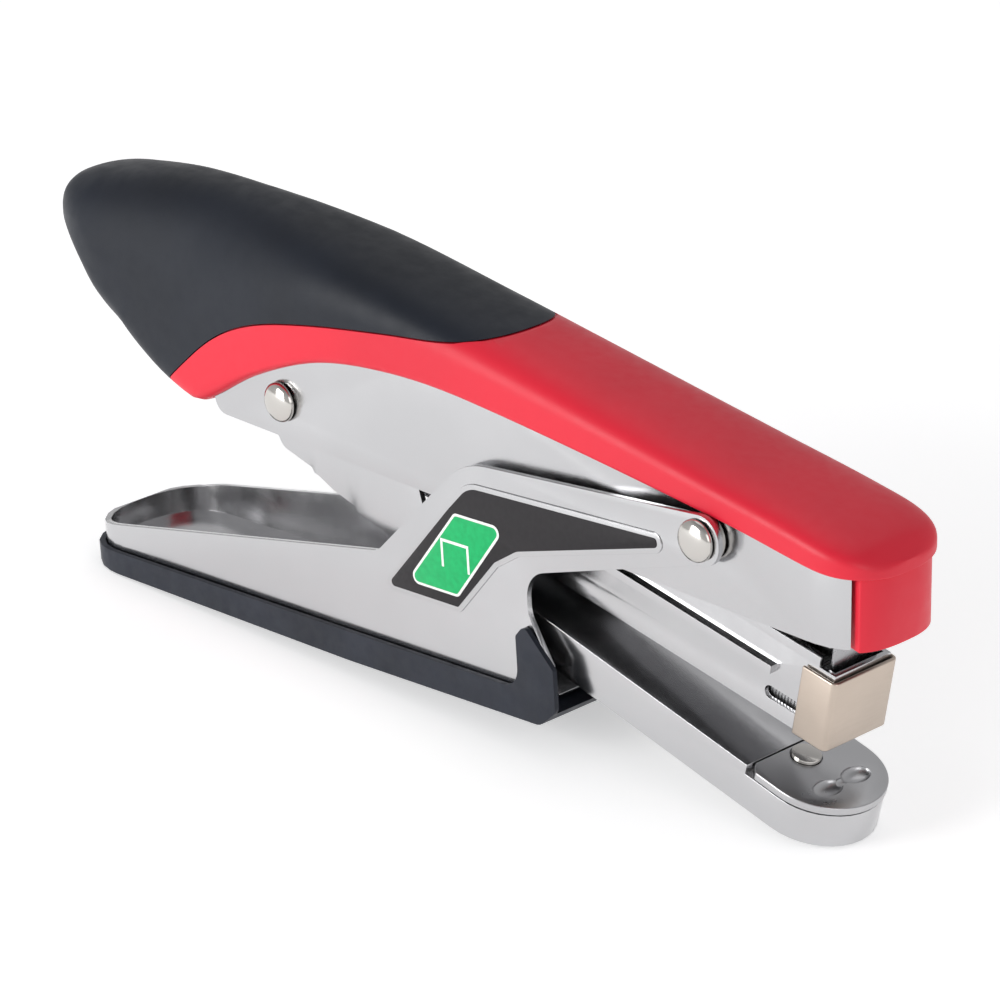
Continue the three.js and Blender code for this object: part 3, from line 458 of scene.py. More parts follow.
def round_wire_tree():
    """Sweeps a round wire along the curve."""
    tree, source, result = node_tree(
        "Round wire", [("Wire radius", "NodeSocketFloat"), ("Sides", "NodeSocketInt")]
    )
    section = tree.nodes.new("GeometryNodeCurvePrimitiveCircle")
    sweep = tree.nodes.new("GeometryNodeCurveToMesh")
    sweep.inputs["Fill Caps"].default_value = True
    link(
        tree,
        (source.outputs["Wire radius"], section.inputs["Radius"]),
        (source.outputs["Sides"], section.inputs["Resolution"]),
        (source.outputs[0], sweep.inputs["Curve"]),
        (section.outputs[0], sweep.inputs["Profile Curve"]),
    )
    return tree, end_tree(tree, sweep.outputs[0], result)


def row_tree():
    """Repeats the piece along X, as staples stand in a stick."""
    tree, source, result = node_tree(
        "Stick of staples", [("Count", "NodeSocketInt"), ("Pitch", "NodeSocketFloat")]
    )
    step = tree.nodes.new("ShaderNodeCombineXYZ")
    row = tree.nodes.new("GeometryNodeMeshLine")
    row.mode = "OFFSET"
    copies = tree.nodes.new("GeometryNodeInstanceOnPoints")
    link(
        tree,
        (source.outputs["Pitch"], step.inputs["X"]),
        (step.outputs[0], row.inputs["Offset"]),
        (source.outputs["Count"], row.inputs["Count"]),
        (row.outputs[0], copies.inputs["Points"]),
        (source.outputs[0], copies.inputs["Instance"]),
    )
    return tree, end_tree(tree, copies.outputs[0], result)


def rivet_pair_tree():
    """Sets a rivet head, which stands on +Z, against both sides of the stapler."""
    tree, source, result = node_tree("Pair of rivet heads", [("Half spread", "NodeSocketFloat")])
    row = tree.nodes.new("GeometryNodeMeshLine")
    row.mode = "OFFSET"
    row.inputs["Count"].default_value = 2
    index = tree.nodes.new("GeometryNodeInputIndex")
    spread, low = (tree.nodes.new("ShaderNodeMath") for _ in range(2))
    for node, factor in ((spread, 2), (low, -1)):
        node.operation = "MULTIPLY"
        node.inputs[1].default_value = factor
    start, step, turn = (tree.nodes.new("ShaderNodeCombineXYZ") for _ in range(3))
    lean = tree.nodes.new("ShaderNodeMapRange")
    lean.inputs["To Min"].default_value = math.pi / 2
    lean.inputs["To Max"].default_value = -math.pi / 2
    heads = tree.nodes.new("GeometryNodeInstanceOnPoints")
    link(
        tree,
        (source.outputs["Half spread"], spread.inputs[0]),
        (source.outputs["Half spread"], low.inputs[0]),
        (low.outputs[0], start.inputs["Y"]),
        (spread.outputs[0], step.inputs["Y"]),
        (start.outputs[0], row.inputs["Start Location"]),
        (step.outputs[0], row.inputs["Offset"]),
        (index.outputs[0], lean.inputs["Value"]),
        (lean.outputs[0], turn.inputs["X"]),
        (turn.outputs[0], heads.inputs["Rotation"]),
        (row.outputs[0], heads.inputs["Points"]),
        (source.outputs[0], heads.inputs["Instance"]),
    )
    return tree, end_tree(tree, heads.outputs[0], result)


def grown_by_tree(source, make_tree, material, values):
    """The plain mesh that a geometry tree makes from a mesh or a curve."""
    tree, paint = make_tree()
    paint.inputs["Material"].default_value = material
    body = scratch_object(source)
    inputs = [item for item in tree.interface.items_tree if item.in_out == "INPUT"]
    sockets = {item.name: item.identifier for item in inputs}
    change = body.modifiers.new(tree.name, "NODES")
    change.node_group = tree
    for label, value in values.items():
        change[sockets[label]] = value
    return settled(body)


def wire_curve(points, name):
    """A curve of straight steps through points."""
    curve = bpy.data.curves.new(name, "CURVE")
    curve.dimensions = "3D"
    spline = curve.splines.new("POLY")
    spline.points.add(len(points) - 1)
    for knot, point in zip(spline.points, points):
        knot.co = (*point, 1)
    return curve


# ---------- Finishes ----------


class Surface:
    """A principled material whose patterns lie in Object coordinates."""

    def __init__(self, name):
        self.material = bpy.data.materials.new(name)
        self.material.use_nodes = True
        self.tree = self.material.node_tree
        self.shader = self.tree.nodes["Principled BSDF"]
        self.place = self.tree.nodes.new("ShaderNodeTexCoord").outputs["Object"]

    def set(self, **values):
        """Sets the shader's own sockets, named with underscores for spaces."""
        for label, value in values.items():
            self.shader.inputs[label.replace("_", " ")].default_value = value
        return self

    def noise(self, scale, detail=4, stretch=None, roughness=0.5):
        """Noise whose scale is in features per metre, stretched along an axis where asked."""
        texture = self.tree.nodes.new("ShaderNodeTexNoise")
        texture.inputs["Scale"].default_value = scale
        texture.inputs["Detail"].default_value = detail
        texture.inputs["Roughness"].default_value = roughness
        source = self.place
        if stretch:
            mapping = self.tree.nodes.new("ShaderNodeMapping")
            mapping.inputs["Scale"].default_value = stretch
            self.tree.links.new(self.place, mapping.inputs["Vector"])
            source = mapping.outputs["Vector"]
        self.tree.links.new(source, texture.inputs["Vector"])
        return texture.outputs["Fac"]

    def pebbles(self, scale):
        """Soft round grains, scale of them per metre."""
        texture = self.tree.nodes.new("ShaderNodeTexVoronoi")
        texture.feature = "SMOOTH_F1"
        texture.inputs["Scale"].default_value = scale
        self.tree.links.new(self.place, texture.inputs["Vector"])
        return texture.outputs["Distance"]

    def tints(self, pattern, dark, light, low=0.35, high=0.65):
        """Colours the surface between two tints by a pattern."""
        ramp = self.tree.nodes.new("ShaderNodeValToRGB")
        ramp.color_ramp.elements[0].position = low
        ramp.color_ramp.elements[1].position = high
        ramp.color_ramp.elements[0].color = (*dark, 1)
        ramp.color_ramp.elements[1].color = (*light, 1)
        self.tree.links.new(pattern, ramp.inputs["Fac"])
        self.tree.links.new(ramp.outputs["Color"], self.shader.inputs["Base Color"])
        return self

    def gloss(self, pattern, smooth, rough, low=0.3, high=0.7):
        """Varies the roughness by a pattern."""
        spread = self.tree.nodes.new("ShaderNodeMapRange")
        labels = ("From Min", "From Max", "To Min", "To Max")
        for label, value in zip(labels, (low, high, smooth, rough)):
            spread.inputs[label].default_value = value
        self.tree.links.new(pattern, spread.inputs["Value"])
        self.tree.links.new(spread.outputs["Result"], self.shader.inputs["Roughness"])
        return self

    def relief(self, *layers):
        """Raises the surface by patterns (pattern, depth in metres, strength)."""
        normal = None
        for pattern, depth, strength in layers:
            bump = self.tree.nodes.new("ShaderNodeBump")
            bump.inputs["Distance"].default_value = depth
            bump.inputs["Strength"].default_value = strength
            self.tree.links.new(pattern, bump.inputs["Height"])
            if normal:
                self.tree.links.new(normal, bump.inputs["Normal"])
            normal = bump.outputs["Normal"]
        self.tree.links.new(normal, self.shader.inputs["Normal"])
        return self


def shade(color, factor):
    """A colour made darker or lighter by a factor."""
    return tuple(min(1, part * factor) for part in color)


def plated(name, color, smooth, rough, wave=0.00004):
    """Bright plating: nearly even, with faint handling haze and the slow waves of pressed sheet."""
    look = Surface(name).set(Metallic=1.0)
    look.tints(look.noise(28, 3), shade(color, 0.965), shade(color, 1.02))
    look.gloss(look.noise(160, 5, roughness=0.65), smooth, rough)
    return look.relief(
        (look.noise(45, 2), wave, 0.35),
        (look.noise(2600, 3), 0.000004, 0.25),
    ).material


def brushed(name, color, stretch, smooth=0.24, rough=0.38):
    """Plating over fine grinding lines that run along the unstretched axis."""
    look = Surface(name).set(Metallic=1.0)
    look.tints(look.noise(60, 4), shade(color, 0.94), shade(color, 1.04))
    lines = look.noise(1, 4, stretch)
    look.gloss(lines, smooth, rough)
    return look.relief((lines, 0.00001, 0.3), (look.noise(3200, 2), 0.000004, 0.2)).material


def moulded_red(color):
    """Satin plastic with a spark-eroded mould texture and faint flow marks."""
    look = Surface("Red moulded plastic").set(Specular_IOR_Level=0.4)
    look.tints(look.noise(22, 3), shade(color, 0.93), shade(color, 1.05))
    look.gloss(look.noise(420, 4), 0.36, 0.47)
    return look.relief(
        (look.noise(7200, 2), 0.00002, 0.35),
        (look.noise(1500, 3), 0.00001, 0.2),
    ).material


def soft_grip(color):
    """Matte overmoulding with a fine pebble grain and a soft bloom."""
    look = Surface("Black soft grip").set(Specular_IOR_Level=0.3)
    look.tints(look.noise(35, 4), shade(color, 0.85), shade(color, 1.2))
    look.gloss(look.noise(300, 4), 0.4, 0.52)
    return look.relief(
        (look.pebbles(5200), 0.00003, 0.3),
        (look.noise(900, 3), 0.00001, 0.2),
    ).material


def base_rubber(color):
    """Dense moulded rubber, a little dusty, with a coarser grain than the grip."""
    look = Surface("Dark base rubber").set(Specular_IOR_Level=0.3)
    look.tints(look.noise(110, 6), shade(color, 0.85), shade(color, 1.18))
    look.gloss(look.noise(420, 5), 0.42, 0.6)
    return look.relief(
        (look.pebbles(3600), 0.00003, 0.3),
        (look.noise(600, 4), 0.00002, 0.25),
    ).material


def printed(name, color):
    """Semi-gloss print with the slight mottle of screen ink."""
    look = Surface(name).set(Specular_IOR_Level=0.2)
    look.tints(look.noise(900, 5), shade(color, 0.9), shade(color, 1.1), 0.3, 0.7)
    look.gloss(look.noise(1400, 3), 0.3, 0.42)
    return look.relief((look.noise(5200, 2), 0.000006, 0.25)).material


def pale_floor(color):
    """Even matte paper with a faint glow of its own, so that it stays pale all over."""
    look = Surface("Pale studio floor")
    look.tints(look.noise(6, 2), shade(color, 0.995), color)
    look.set(Emission_Color=(1, 1, 1, 1), Emission_Strength=FLOOR_GLOW)
    return look.set(Roughness=0.9, Specular_IOR_Level=0.0).material


# Grinding lines: features per metre along X, Y and Z
NOSE_LINES = (260, 260, 2600)
STICK_LINES = (2600, 260, 260)
PAPER_WHITE = (0.82, 0.82, 0.8)
FLOOR_WHITE = (0.93, 0.93, 0.93)
FLOOR_GLOW = 0.42

# How each finish is made from the looks
MAKERS = {
    "chrome_plate": lambda looks: plated("Chrome plating", looks.chrome, 0.15, 0.24),
    "nickel_plate": lambda looks: brushed(
        "Warm nickel plating", looks.nickel, NOSE_LINES, 0.3, 0.42
    ),
    "rivet_steel": lambda looks: plated("Polished rivet steel", looks.rivet, 0.1, 0.2, 0.00002),
    "anvil_steel": lambda looks: plated("Ground anvil steel", looks.anvil, 0.26, 0.36, 0.00001),
    "spring_steel": lambda looks: plated("Bright spring steel", looks.spring, 0.2, 0.34),
    "screw_steel": lambda looks: plated("Zinc screw steel", shade(looks.spring, 0.85), 0.28, 0.42),
    "staple_wire": lambda looks: brushed("Galvanised wire", looks.staple, STICK_LINES),
    "cover_plastic": lambda looks: moulded_red(looks.cover),
    "grip_rubber": lambda looks: soft_grip(looks.grip),
    "base_rubber": lambda looks: base_rubber(looks.base),
    "panel_print": lambda looks: printed("Black print", looks.panel),
    "green_print": lambda looks: printed("Green print", looks.label),
    "white_print": lambda looks: printed("White print", PAPER_WHITE),
}
made_finishes = {}


def finish_of(slot):
    """The material of a slot, made once."""
    if slot not in made_finishes:
        made_finishes[slot] = MAKERS[slot](bpy.context.scene.stapler_looks)
    return made_finishes[slot]


# ---------- Pieces of the upper handle ----------


def upper_cover():
    """The red cover, hollow inside, open below for the channel and cut back under the grip."""
    rooms = []
    for margin, inset, floor in ((GAP, -GAP, -19), (1.8, 2, CHANNEL_BOTTOM)):
        side = outline(
            [
                (-19 - margin, floor, 0),
                (NOSE_REACH, floor, 0),
                (NOSE_REACH, WEB_NOSE_Z + margin, 0),
                (40, 18.5 + margin, 30),
                (-8, 20 + margin, 12),
                (-37 - margin, 17 + margin, 5),
                (-37 - margin, 6, 0),
                (-19 - margin, -3, 2),
            ]
        )
        plan = prism(channel_plan(inset), upright, -30 if inset < 0 else 0, 45, "room plan")
        room = combined(prism(side, sideways, -COVER_IN, COVER_IN, "room"), [("INTERSECT", plan)])
        rooms.append(("DIFFERENCE", room))
    bed = combined(
        grip_zone(GAP),
        [("DIFFERENCE", handle_skin(BED_DEPTH, BED_DEPTH, cover_half_width, "bed", 60, 40))],
    )
    tip_plan = [Vector(p) for p in ((-90, -20), (-64.7, -20), (-64.7, 20), (-90, 20))]
    tip = prism(tip_plan, upright, -20, 50, "tip")
    return combined(
        handle_skin(0, 0, cover_half_width, "cover"),
        [
            ("DIFFERENCE", handle_skin(0, COVER_WALL, lambda x: COVER_IN, "cavity", 60, 40)),
            *rooms,
            ("DIFFERENCE", bed),
            ("DIFFERENCE", tip),
        ],
    )


def nose_skirt():
    """The wall below the cover's lip at the nose, with a rolled lower edge."""
    rear = NOSE_REACH - SKIRT_LENGTH
    faces = [
        [p for p in channel_plan(inset, 90) if p.x > rear and abs(p.y) < SKIRT_HALF]
        for inset in (-2 * GAP, 2)
    ]
    low, high = CHANNEL_BOTTOM - GAP, cover_bottom(NOSE_REACH) + 1
    return rounded(prism(faces[0] + faces[1][::-1], upright, low, high, "skirt"), 0.45, 3, 50)


def grip_zone(margin):
    """The rear and top of the handle that the grip covers, grown by margin."""
    edge = [(-29.4, -2.3), (-16.9, 8.3), (-5.9, 14), (8.9, 17.9), (29.5, 21.3), (45.2, 23.4)]
    lower = smooth_profile([*edge, (GRIP_TIP, 26)])
    side = [Vector((-90, 34)), Vector((-35 - margin, -14))]
    side += [Vector((-29.4 + k * 1.2, lower(-29.4 + k * 1.2) - margin)) for k in range(73)]
    side += [Vector((GRIP_TIP, 50)), Vector((-90, 50))]
    tip = GRIP_TIP + margin
    plan = [Vector((-90, 20)), Vector((-90, -20))]
    for k in range(25):
        t = k / 24
        x = 150 * t * (1 - t) ** 2 + 3 * tip * (1 - t) * t * t + tip * t**3
        y = -20 * (1 - t) ** 3 - 48 * t * (1 - t) ** 2 - 21 * (1 - t) * t * t
        plan.append(Vector((x, y)))
    plan += [Vector((p.x, -p.y)) for p in plan[:1:-1][1:]]
    return combined(
        prism(side, sideways, -25, 25, "grip side"),
        [("INTERSECT", prism(plan, upright, -30, 60, "grip plan"))],
    )


def soft_pad():
    """The grip, a thin skin over the rear and top of the handle."""
    return combined(
        handle_skin(0, 0, cover_half_width, "pad"),
        [
            ("INTERSECT", grip_zone(0)),
            ("DIFFERENCE", handle_skin(PAD_WALL, PAD_WALL, cover_half_width, "inside", 60, 40)),
        ],
    )


def dome(radius, rise, rim, shank, depth):
    """Profile of a domed head on its shank, the seat at height 0."""
    points = [(0, -depth), (shank, -depth), (shank, 0)]
    points += [(radius - 0.15, 0), (radius, 0.15), (radius, rim)]
    for k in range(1, 9):
        turn = k / 9 * math.pi / 2
        points.append((radius * math.cos(turn), rim + (rise - rim) * math.sin(turn) ** 0.9))
    return points + [(0, rise)]


# ---------- Operators ----------


class STAPLER_OT_cover(bpy.types.Operator):
    """Build the red cover with its nose skirt"""

    bl_idname = "stapler.cover"
    bl_label = "Cover"

    def execute(self, context):
        shell = joined([upper_cover(), nose_skirt()], "cover_shell")
        red = finish_of("cover_plastic")
        nodes = ["handle_cover"]
        finish_piece("cover_shell", shell, UPPER, red, "upper_handle", nodes)
        return {"FINISHED"}


class STAPLER_OT_grip(bpy.types.Operator):
    """Build the soft grip over the rear of the upper handle"""

    bl_idname = "stapler.grip"
    bl_label = "Soft grip"

    def execute(self, context):
        black = finish_of("grip_rubber")
        nodes = ["grip_pad"]
        finish_piece("soft_grip", soft_pad(), UPPER, black, "upper_handle", nodes)
        return {"FINISHED"}


# Piece, node, body, slot and edge radius in millimetres
PRESSINGS = [
    ("upper_channel", "handle_channel", "upper_handle", "chrome_plate", 0.25),
    ("blade", "driver_blade", "upper_handle", "spring_steel", 0.1),
    ("blade_bracket", "driver_bracket", "upper_handle", "chrome_plate", 0.25),
    ("spacer_left", "front_spacer_left", "upper_handle", "rivet_steel", 0.15),
    ("spacer_right", "front_spacer_right", "upper_handle", "rivet_steel", 0.15),
    ("leaf_spring", "magazine_spring", "upper_handle", "spring_steel", 0.12),
    ("magazine_body", "magazine_channel", "magazine", "chrome_plate", 0.22),
    ("nose_wrap", "nose_block", "magazine", "nickel_plate", 0.3),
    ("core_rail", "staple_core", "magazine", "chrome_plate", 0.2),
    ("rod_stop", "rear_stop", "magazine", "chrome_plate", 0.2),
    ("follower_shoe", "staple_follower", "follower", "chrome_plate", 0.25),
    ("clinch_arm", "anvil_arm", "clinch_arm", "chrome_plate", 0.3),
    ("trough", "lower_frame", "lower_handle", "chrome_plate", 0.3),
    ("arm_lifter", "lift_strip", "lower_handle", "spring_steel", 0.25),
]


class STAPLER_OT_pressings(bpy.types.Operator):
    """Build the pressed-steel parts with their edges broken"""

    bl_idname = "stapler.pressings"
    bl_label = "Pressed steel"

    def execute(self, context):
        ease = context.scene.stapler_sizes.edge_ease
        for name, node, body, slot, radius in PRESSINGS:
            mesh = rounded(cleaned_node(node), radius * ease * MM, 3)
            finish_piece(name, mesh, Matrix(), finish_of(slot), body, [node])
        return {"FINISHED"}


class STAPLER_OT_rubber_base(bpy.types.Operator):
    """Build the rubber base with its softly rounded edges"""

    bl_idname = "stapler.rubber_base"
    bl_label = "Rubber base"

    def execute(self, context):
        mesh = rounded(cleaned_node("rubber_base"), context.scene.stapler_sizes.base_edge, 4)
        dark = finish_of("base_rubber")
        nodes = ["rubber_base"]
        finish_piece("base_boot", mesh, Matrix(), dark, "lower_handle", nodes)
        return {"FINISHED"}


class STAPLER_OT_anvil(bpy.types.Operator):
    """Build the anvil plate with its clinch grooves, and its rivet"""

    bl_idname = "stapler.anvil"
    bl_label = "Anvil"

    def execute(self, context):
        rear, centre = ARM_LENGTH - 18.5, ARM_LENGTH - 11
        chamfer = [(rear, -ANVIL_HALF + 2), (rear + 2, -ANVIL_HALF), (centre - 3, -ANVIL_HALF)]
        plan = [Vector(p) for p in chamfer]
        for k in range(49):
            turn = -math.pi / 2 + math.pi * k / 48
            plan.append(Vector((centre + ANVIL_HALF * math.cos(turn), ANVIL_HALF * math.sin(turn))))
        plan += [Vector((x, -y)) for x, y in reversed(chamfer)]
        plate = prism(plan, upright, ANVIL_TOP - ANVIL_THICK, ANVIL_TOP, "plate")
        plate = rounded(plate, 0.22, 3, 25)
        # place across, then length, width and depth of each lobe of the clinch pockets
        lobes = [(3.5, (2.1, 3.2, 1.35)), (-3.5, (2.1, 3.2, 1.35)), (0, (0.9, 2, 0.9))]
        tools = []
        for y, size in lobes:
            ball = bmesh.new()
            bmesh.ops.create_uvsphere(ball, u_segments=48, v_segments=24, radius=1)
            bmesh.ops.scale(ball, vec=size, verts=ball.verts)
            bmesh.ops.translate(ball, vec=(POCKET_X, y, ANVIL_TOP + 0.1), verts=ball.verts)
            tools.append(("DIFFERENCE", mesh_of(ball, "lobe")))
        sink, wide = ANVIL_TOP - HEAD_SINK, ANVIL_HEAD + 0.2
        profile = [(0, -12), (ANVIL_HOLE, -12), (ANVIL_HOLE, sink), (wide, sink), (wide, 0), (0, 0)]
        hole = turned(profile, "hole", 64)
        hole.transform(Matrix.Translation((ANVIL_RIVET_X, 0, 0)))
        plate = combined(plate, [*tools, ("DIFFERENCE", hole)])
        ground = finish_of("anvil_steel")
        nodes = ["anvil_plate"]
        finish_piece("clinch_plate", plate, ARM, ground, "clinch_arm", nodes)
        head, shank = ANVIL_HEAD, 1.6
        profile = [(0, -5.1), (head - 0.3, -5.1), (head, -4.9), (head, -4.1), (shank, -4.1)]
        profile += [(shank, -0.5), (head, -0.5), (head, 0.45), (head - 0.1, 0.62)]
        profile += [(head - 0.4, 0.69), (0, 0.7)]
        rivet = turned(profile, "plate_rivet", 64)
        place = ARM @ Matrix.Translation((ANVIL_RIVET_X, 0, ANVIL_TOP))
        steel, nodes = finish_of("rivet_steel"), ["anvil_rivet"]
        finish_piece("plate_rivet", rivet, place, steel, "clinch_arm", nodes)
        return {"FINISHED"}


class STAPLER_OT_rivets(bpy.types.Operator):
    """Build the domed rivets on both pivots"""

    bl_idname = "stapler.rivets"
    bl_label = "Pivot rivets"

    def execute(self, context):
        sizes = context.scene.stapler_sizes
        steel = finish_of("rivet_steel")
        for name, node, pivot, seat, shank in (
            ("rear_rivet", "rear_pivot_rivet", REAR_PIVOT, CHANNEL_SIDE / MM + GAP, 2.2),
            ("front_rivet", "front_pivot_rivet", FRONT_PIVOT, PLATE_OUT / MM + GAP, 2.6),
        ):
            radius, rise = sizes.rivet_radius / MM, sizes.rivet_rise / MM
            head = turned(dome(radius, rise, 0.3, shank, seat - 0.01), name, 64)
            pair = grown_by_tree(head, rivet_pair_tree, steel, {"Half spread": seat})
            place = frame_at(pivot, 0)
            finish_piece(name, pair, place, steel, "upper_handle", [node])
        return {"FINISHED"}


def wire_piece(name, path, radius, sides, place, body, node):
    """A piece of round spring wire along a path."""
    steel = finish_of("spring_steel")
    values = {"Wire radius": radius, "Sides": sides}
    mesh = grown_by_tree(wire_curve(path, name), round_wire_tree, steel, values)
    finish_piece(name, mesh, place, steel, body, [node])


class STAPLER_OT_springs(bpy.types.Operator):
    """Build the return spring, the follower spring and the guide rod"""

    bl_idname = "stapler.springs"
    bl_label = "Springs"

    def execute(self, context):
        coil, wire, turns, per_turn = 4.1, 0.8, 4.55, 32
        half = 4 * (2 * wire + 0.5) / 2
        path = [Vector((x, -half, z)) for x, z in ((26, 15), (20, 13.2), (12, 10.4), (5, 7))]
        steps = round(turns * per_turn)
        for i in range(steps + 1):
            turn = math.radians(130) + i * 2 * math.pi * turns / steps
            along = -half + 2 * half * i / steps
            path.append(Vector((coil * math.cos(turn), along, coil * math.sin(turn))))
        path += [Vector((x, half, z)) for x, z in ((6, -6), (12, -8.4), (20, -10.6), (28, -12.4))]
        wire_piece("torsion_spring", path, wire, 16, UPPER, "upper_handle", "return_spring")

        coil, turns, per_turn = 2.2, 11, 24
        rear, front = PUSH_REACH
        path = []
        for i in range(turns * per_turn + 1):
            turn = 2 * math.pi * i / per_turn
            x = rear + (front - rear) * i / (turns * per_turn)
            path.append(Vector((x, coil * math.cos(turn), ROD_HEIGHT + coil * math.sin(turn))))
        wire_piece("push_spring", path, 0.3, 10, MAGAZINE, "magazine", "follower_spring")

        path = [Vector((x, 0, ROD_HEIGHT)) for x in ROD_REACH]
        wire_piece("rod", path, 1.2, 32, MAGAZINE, "magazine", "guide_rod")
        return {"FINISHED"}


class STAPLER_OT_staples(bpy.types.Operator):
    """Fill the magazine with a stick of staples"""

    bl_idname = "stapler.staples"
    bl_label = "Staples"

    def execute(self, context):
        sizes = context.scene.stapler_sizes
        half, foot, crown = STAPLE_HALF, STAPLE_FOOT, STAPLE_FOOT + STAPLE_LEG
        inside = half - STAPLE_WIRE
        pitch = STICK_LENGTH / sizes.staple_count
        arch = outline(
            [
                (-half, foot, 0),
                (-half, crown, 0.5),
                (half, crown, 0.5),
                (half, foot, 0),
                (inside, foot, 0),
                (inside, crown - STAPLE_WIRE, 0),
                (-inside, crown - STAPLE_WIRE, 0),
                (-inside, foot, 0),
            ],
            4,
        )
        one = prism(arch, lambda u, v, depth: Vector((depth, u, v)), 0, pitch * 0.94, "staple")
        one = rounded(one, 0.1, 2)
        one.transform(Matrix.Translation((STICK_FRONT - STICK_LENGTH, 0, 0)))
        bright, nodes = finish_of("staple_wire"), ["staple_strip"]
        values = {"Count": sizes.staple_count, "Pitch": pitch}
        stick = grown_by_tree(one, row_tree, bright, values)
        finish_piece("staple_stick", stick, MAGAZINE, bright, "magazine", nodes)
        return {"FINISHED"}


class STAPLER_OT_screws(bpy.types.Operator):
    """Build the cover screws with their cross recesses"""

    bl_idname = "stapler.screws"
    bl_label = "Cover screws"

    def execute(self, context):
        steel = finish_of("screw_steel")
        for node in ("cover_screw_1", "cover_screw_2"):
            low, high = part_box(node)
            length = (high.z - low.z) / MM
            profile = [(0, 0), (2.2, 0), (2.8, 0.35), (3, 0.9), (3, 1.6), (1.5, 1.6)]
            profile += [(1.5, length - 1), (0.9, length), (0, length)]
            body = turned(profile, node)
            slots = []
            for angle in (0, 90):
                bar = [Vector(p) for p in ((-1.6, -0.28), (1.6, -0.28), (1.6, 0.28), (-1.6, 0.28))]
                slot = prism(bar, upright, -1, 0.9, "slot")
                slot.transform(Matrix.Rotation(math.radians(angle + 20), 4, "Z"))
                slots.append(("DIFFERENCE", slot))
            place = Matrix.Translation(((low.x + high.x) / 2, 0, low.z)) @ Matrix.Scale(MM, 4)
            name = node.replace("cover_screw", "pan_screw")
            mesh = combined(body, slots)
            finish_piece(name, mesh, place, steel, "upper_handle", [node])
        return {"FINISHED"}


PANEL = outline(
    [
        (-78.4, -26.7, 0.8),
        (-60, -26.7, 0.6),
        (-49.9, -15.9, 2),
        (-44, -12.4, 5),
        (-9.2, -3.5, 0.8),
        (-9.6, -1.9, 0.6),
        (-55.6, -3.2, 6),
        (-61, -8.4, 3),
    ]
)
LABEL = outline([(-59.4, -8.7, 1.5), (-46.4, -8.7, 1.5), (-59.6, -24.7, 1.5), (-73.1, -24.7, 1.5)])


def staple_sign(x, z, width, height, stroke):
    """The outline of a plain staple picture, its middle at (x, z)."""
    left, right = x - width / 2, x + width / 2
    top, foot = z + height / 2, z - height / 2
    return [
        Vector(p)
        for p in (
            (left, foot),
            (left, top),
            (right, top),
            (right, foot),
            (right - stroke, foot),
            (right - stroke, top - stroke),
            (left + stroke, top - stroke),
            (left + stroke, foot),
        )
    ]


class STAPLER_OT_labels(bpy.types.Operator):
    """Build the raised panels of the lower handle and the printing on them"""

    bl_idname = "stapler.labels"
    bl_label = "Panels and labels"

    def execute(self, context):
        plate = PLATE_OUT / MM
        sign = staple_sign(-59.7, -16.9, 7.2, 5.4, 0.55)
        # name, outline, start and end outside the plate, edge radius, slot, replaced node
        layers = [
            ("panel_raise", grown(PANEL, 1.0), -0.05, 0.3, 0.2, "chrome_plate", None),
            ("panel_print", PANEL, 0.31, 0.42, 0.04, "panel_print", "label_panel"),
            ("label_border", LABEL, 0.43, 0.5, 0.02, "white_print", None),
            ("label_green", grown(LABEL, -0.5), 0.51, 0.56, 0.02, "green_print", "staple_label"),
            ("label_sign", sign, 0.57, 0.61, 0.01, "white_print", None),
        ]
        for word, side in (("left", 1), ("right", -1)):
            for name, points, low, high, radius, finish, node in layers:
                near, far = sorted((side * (plate + low), side * (plate + high)))
                mesh = rounded(prism(points, sideways, near, far, name), radius, 2, 40)
                nodes = [f"{node}_{word}"] if node else []
                look = finish_of(finish)
                finish_piece(f"{name}_{word}", mesh, LOWER, look, "lower_handle", nodes)
        return {"FINISHED"}


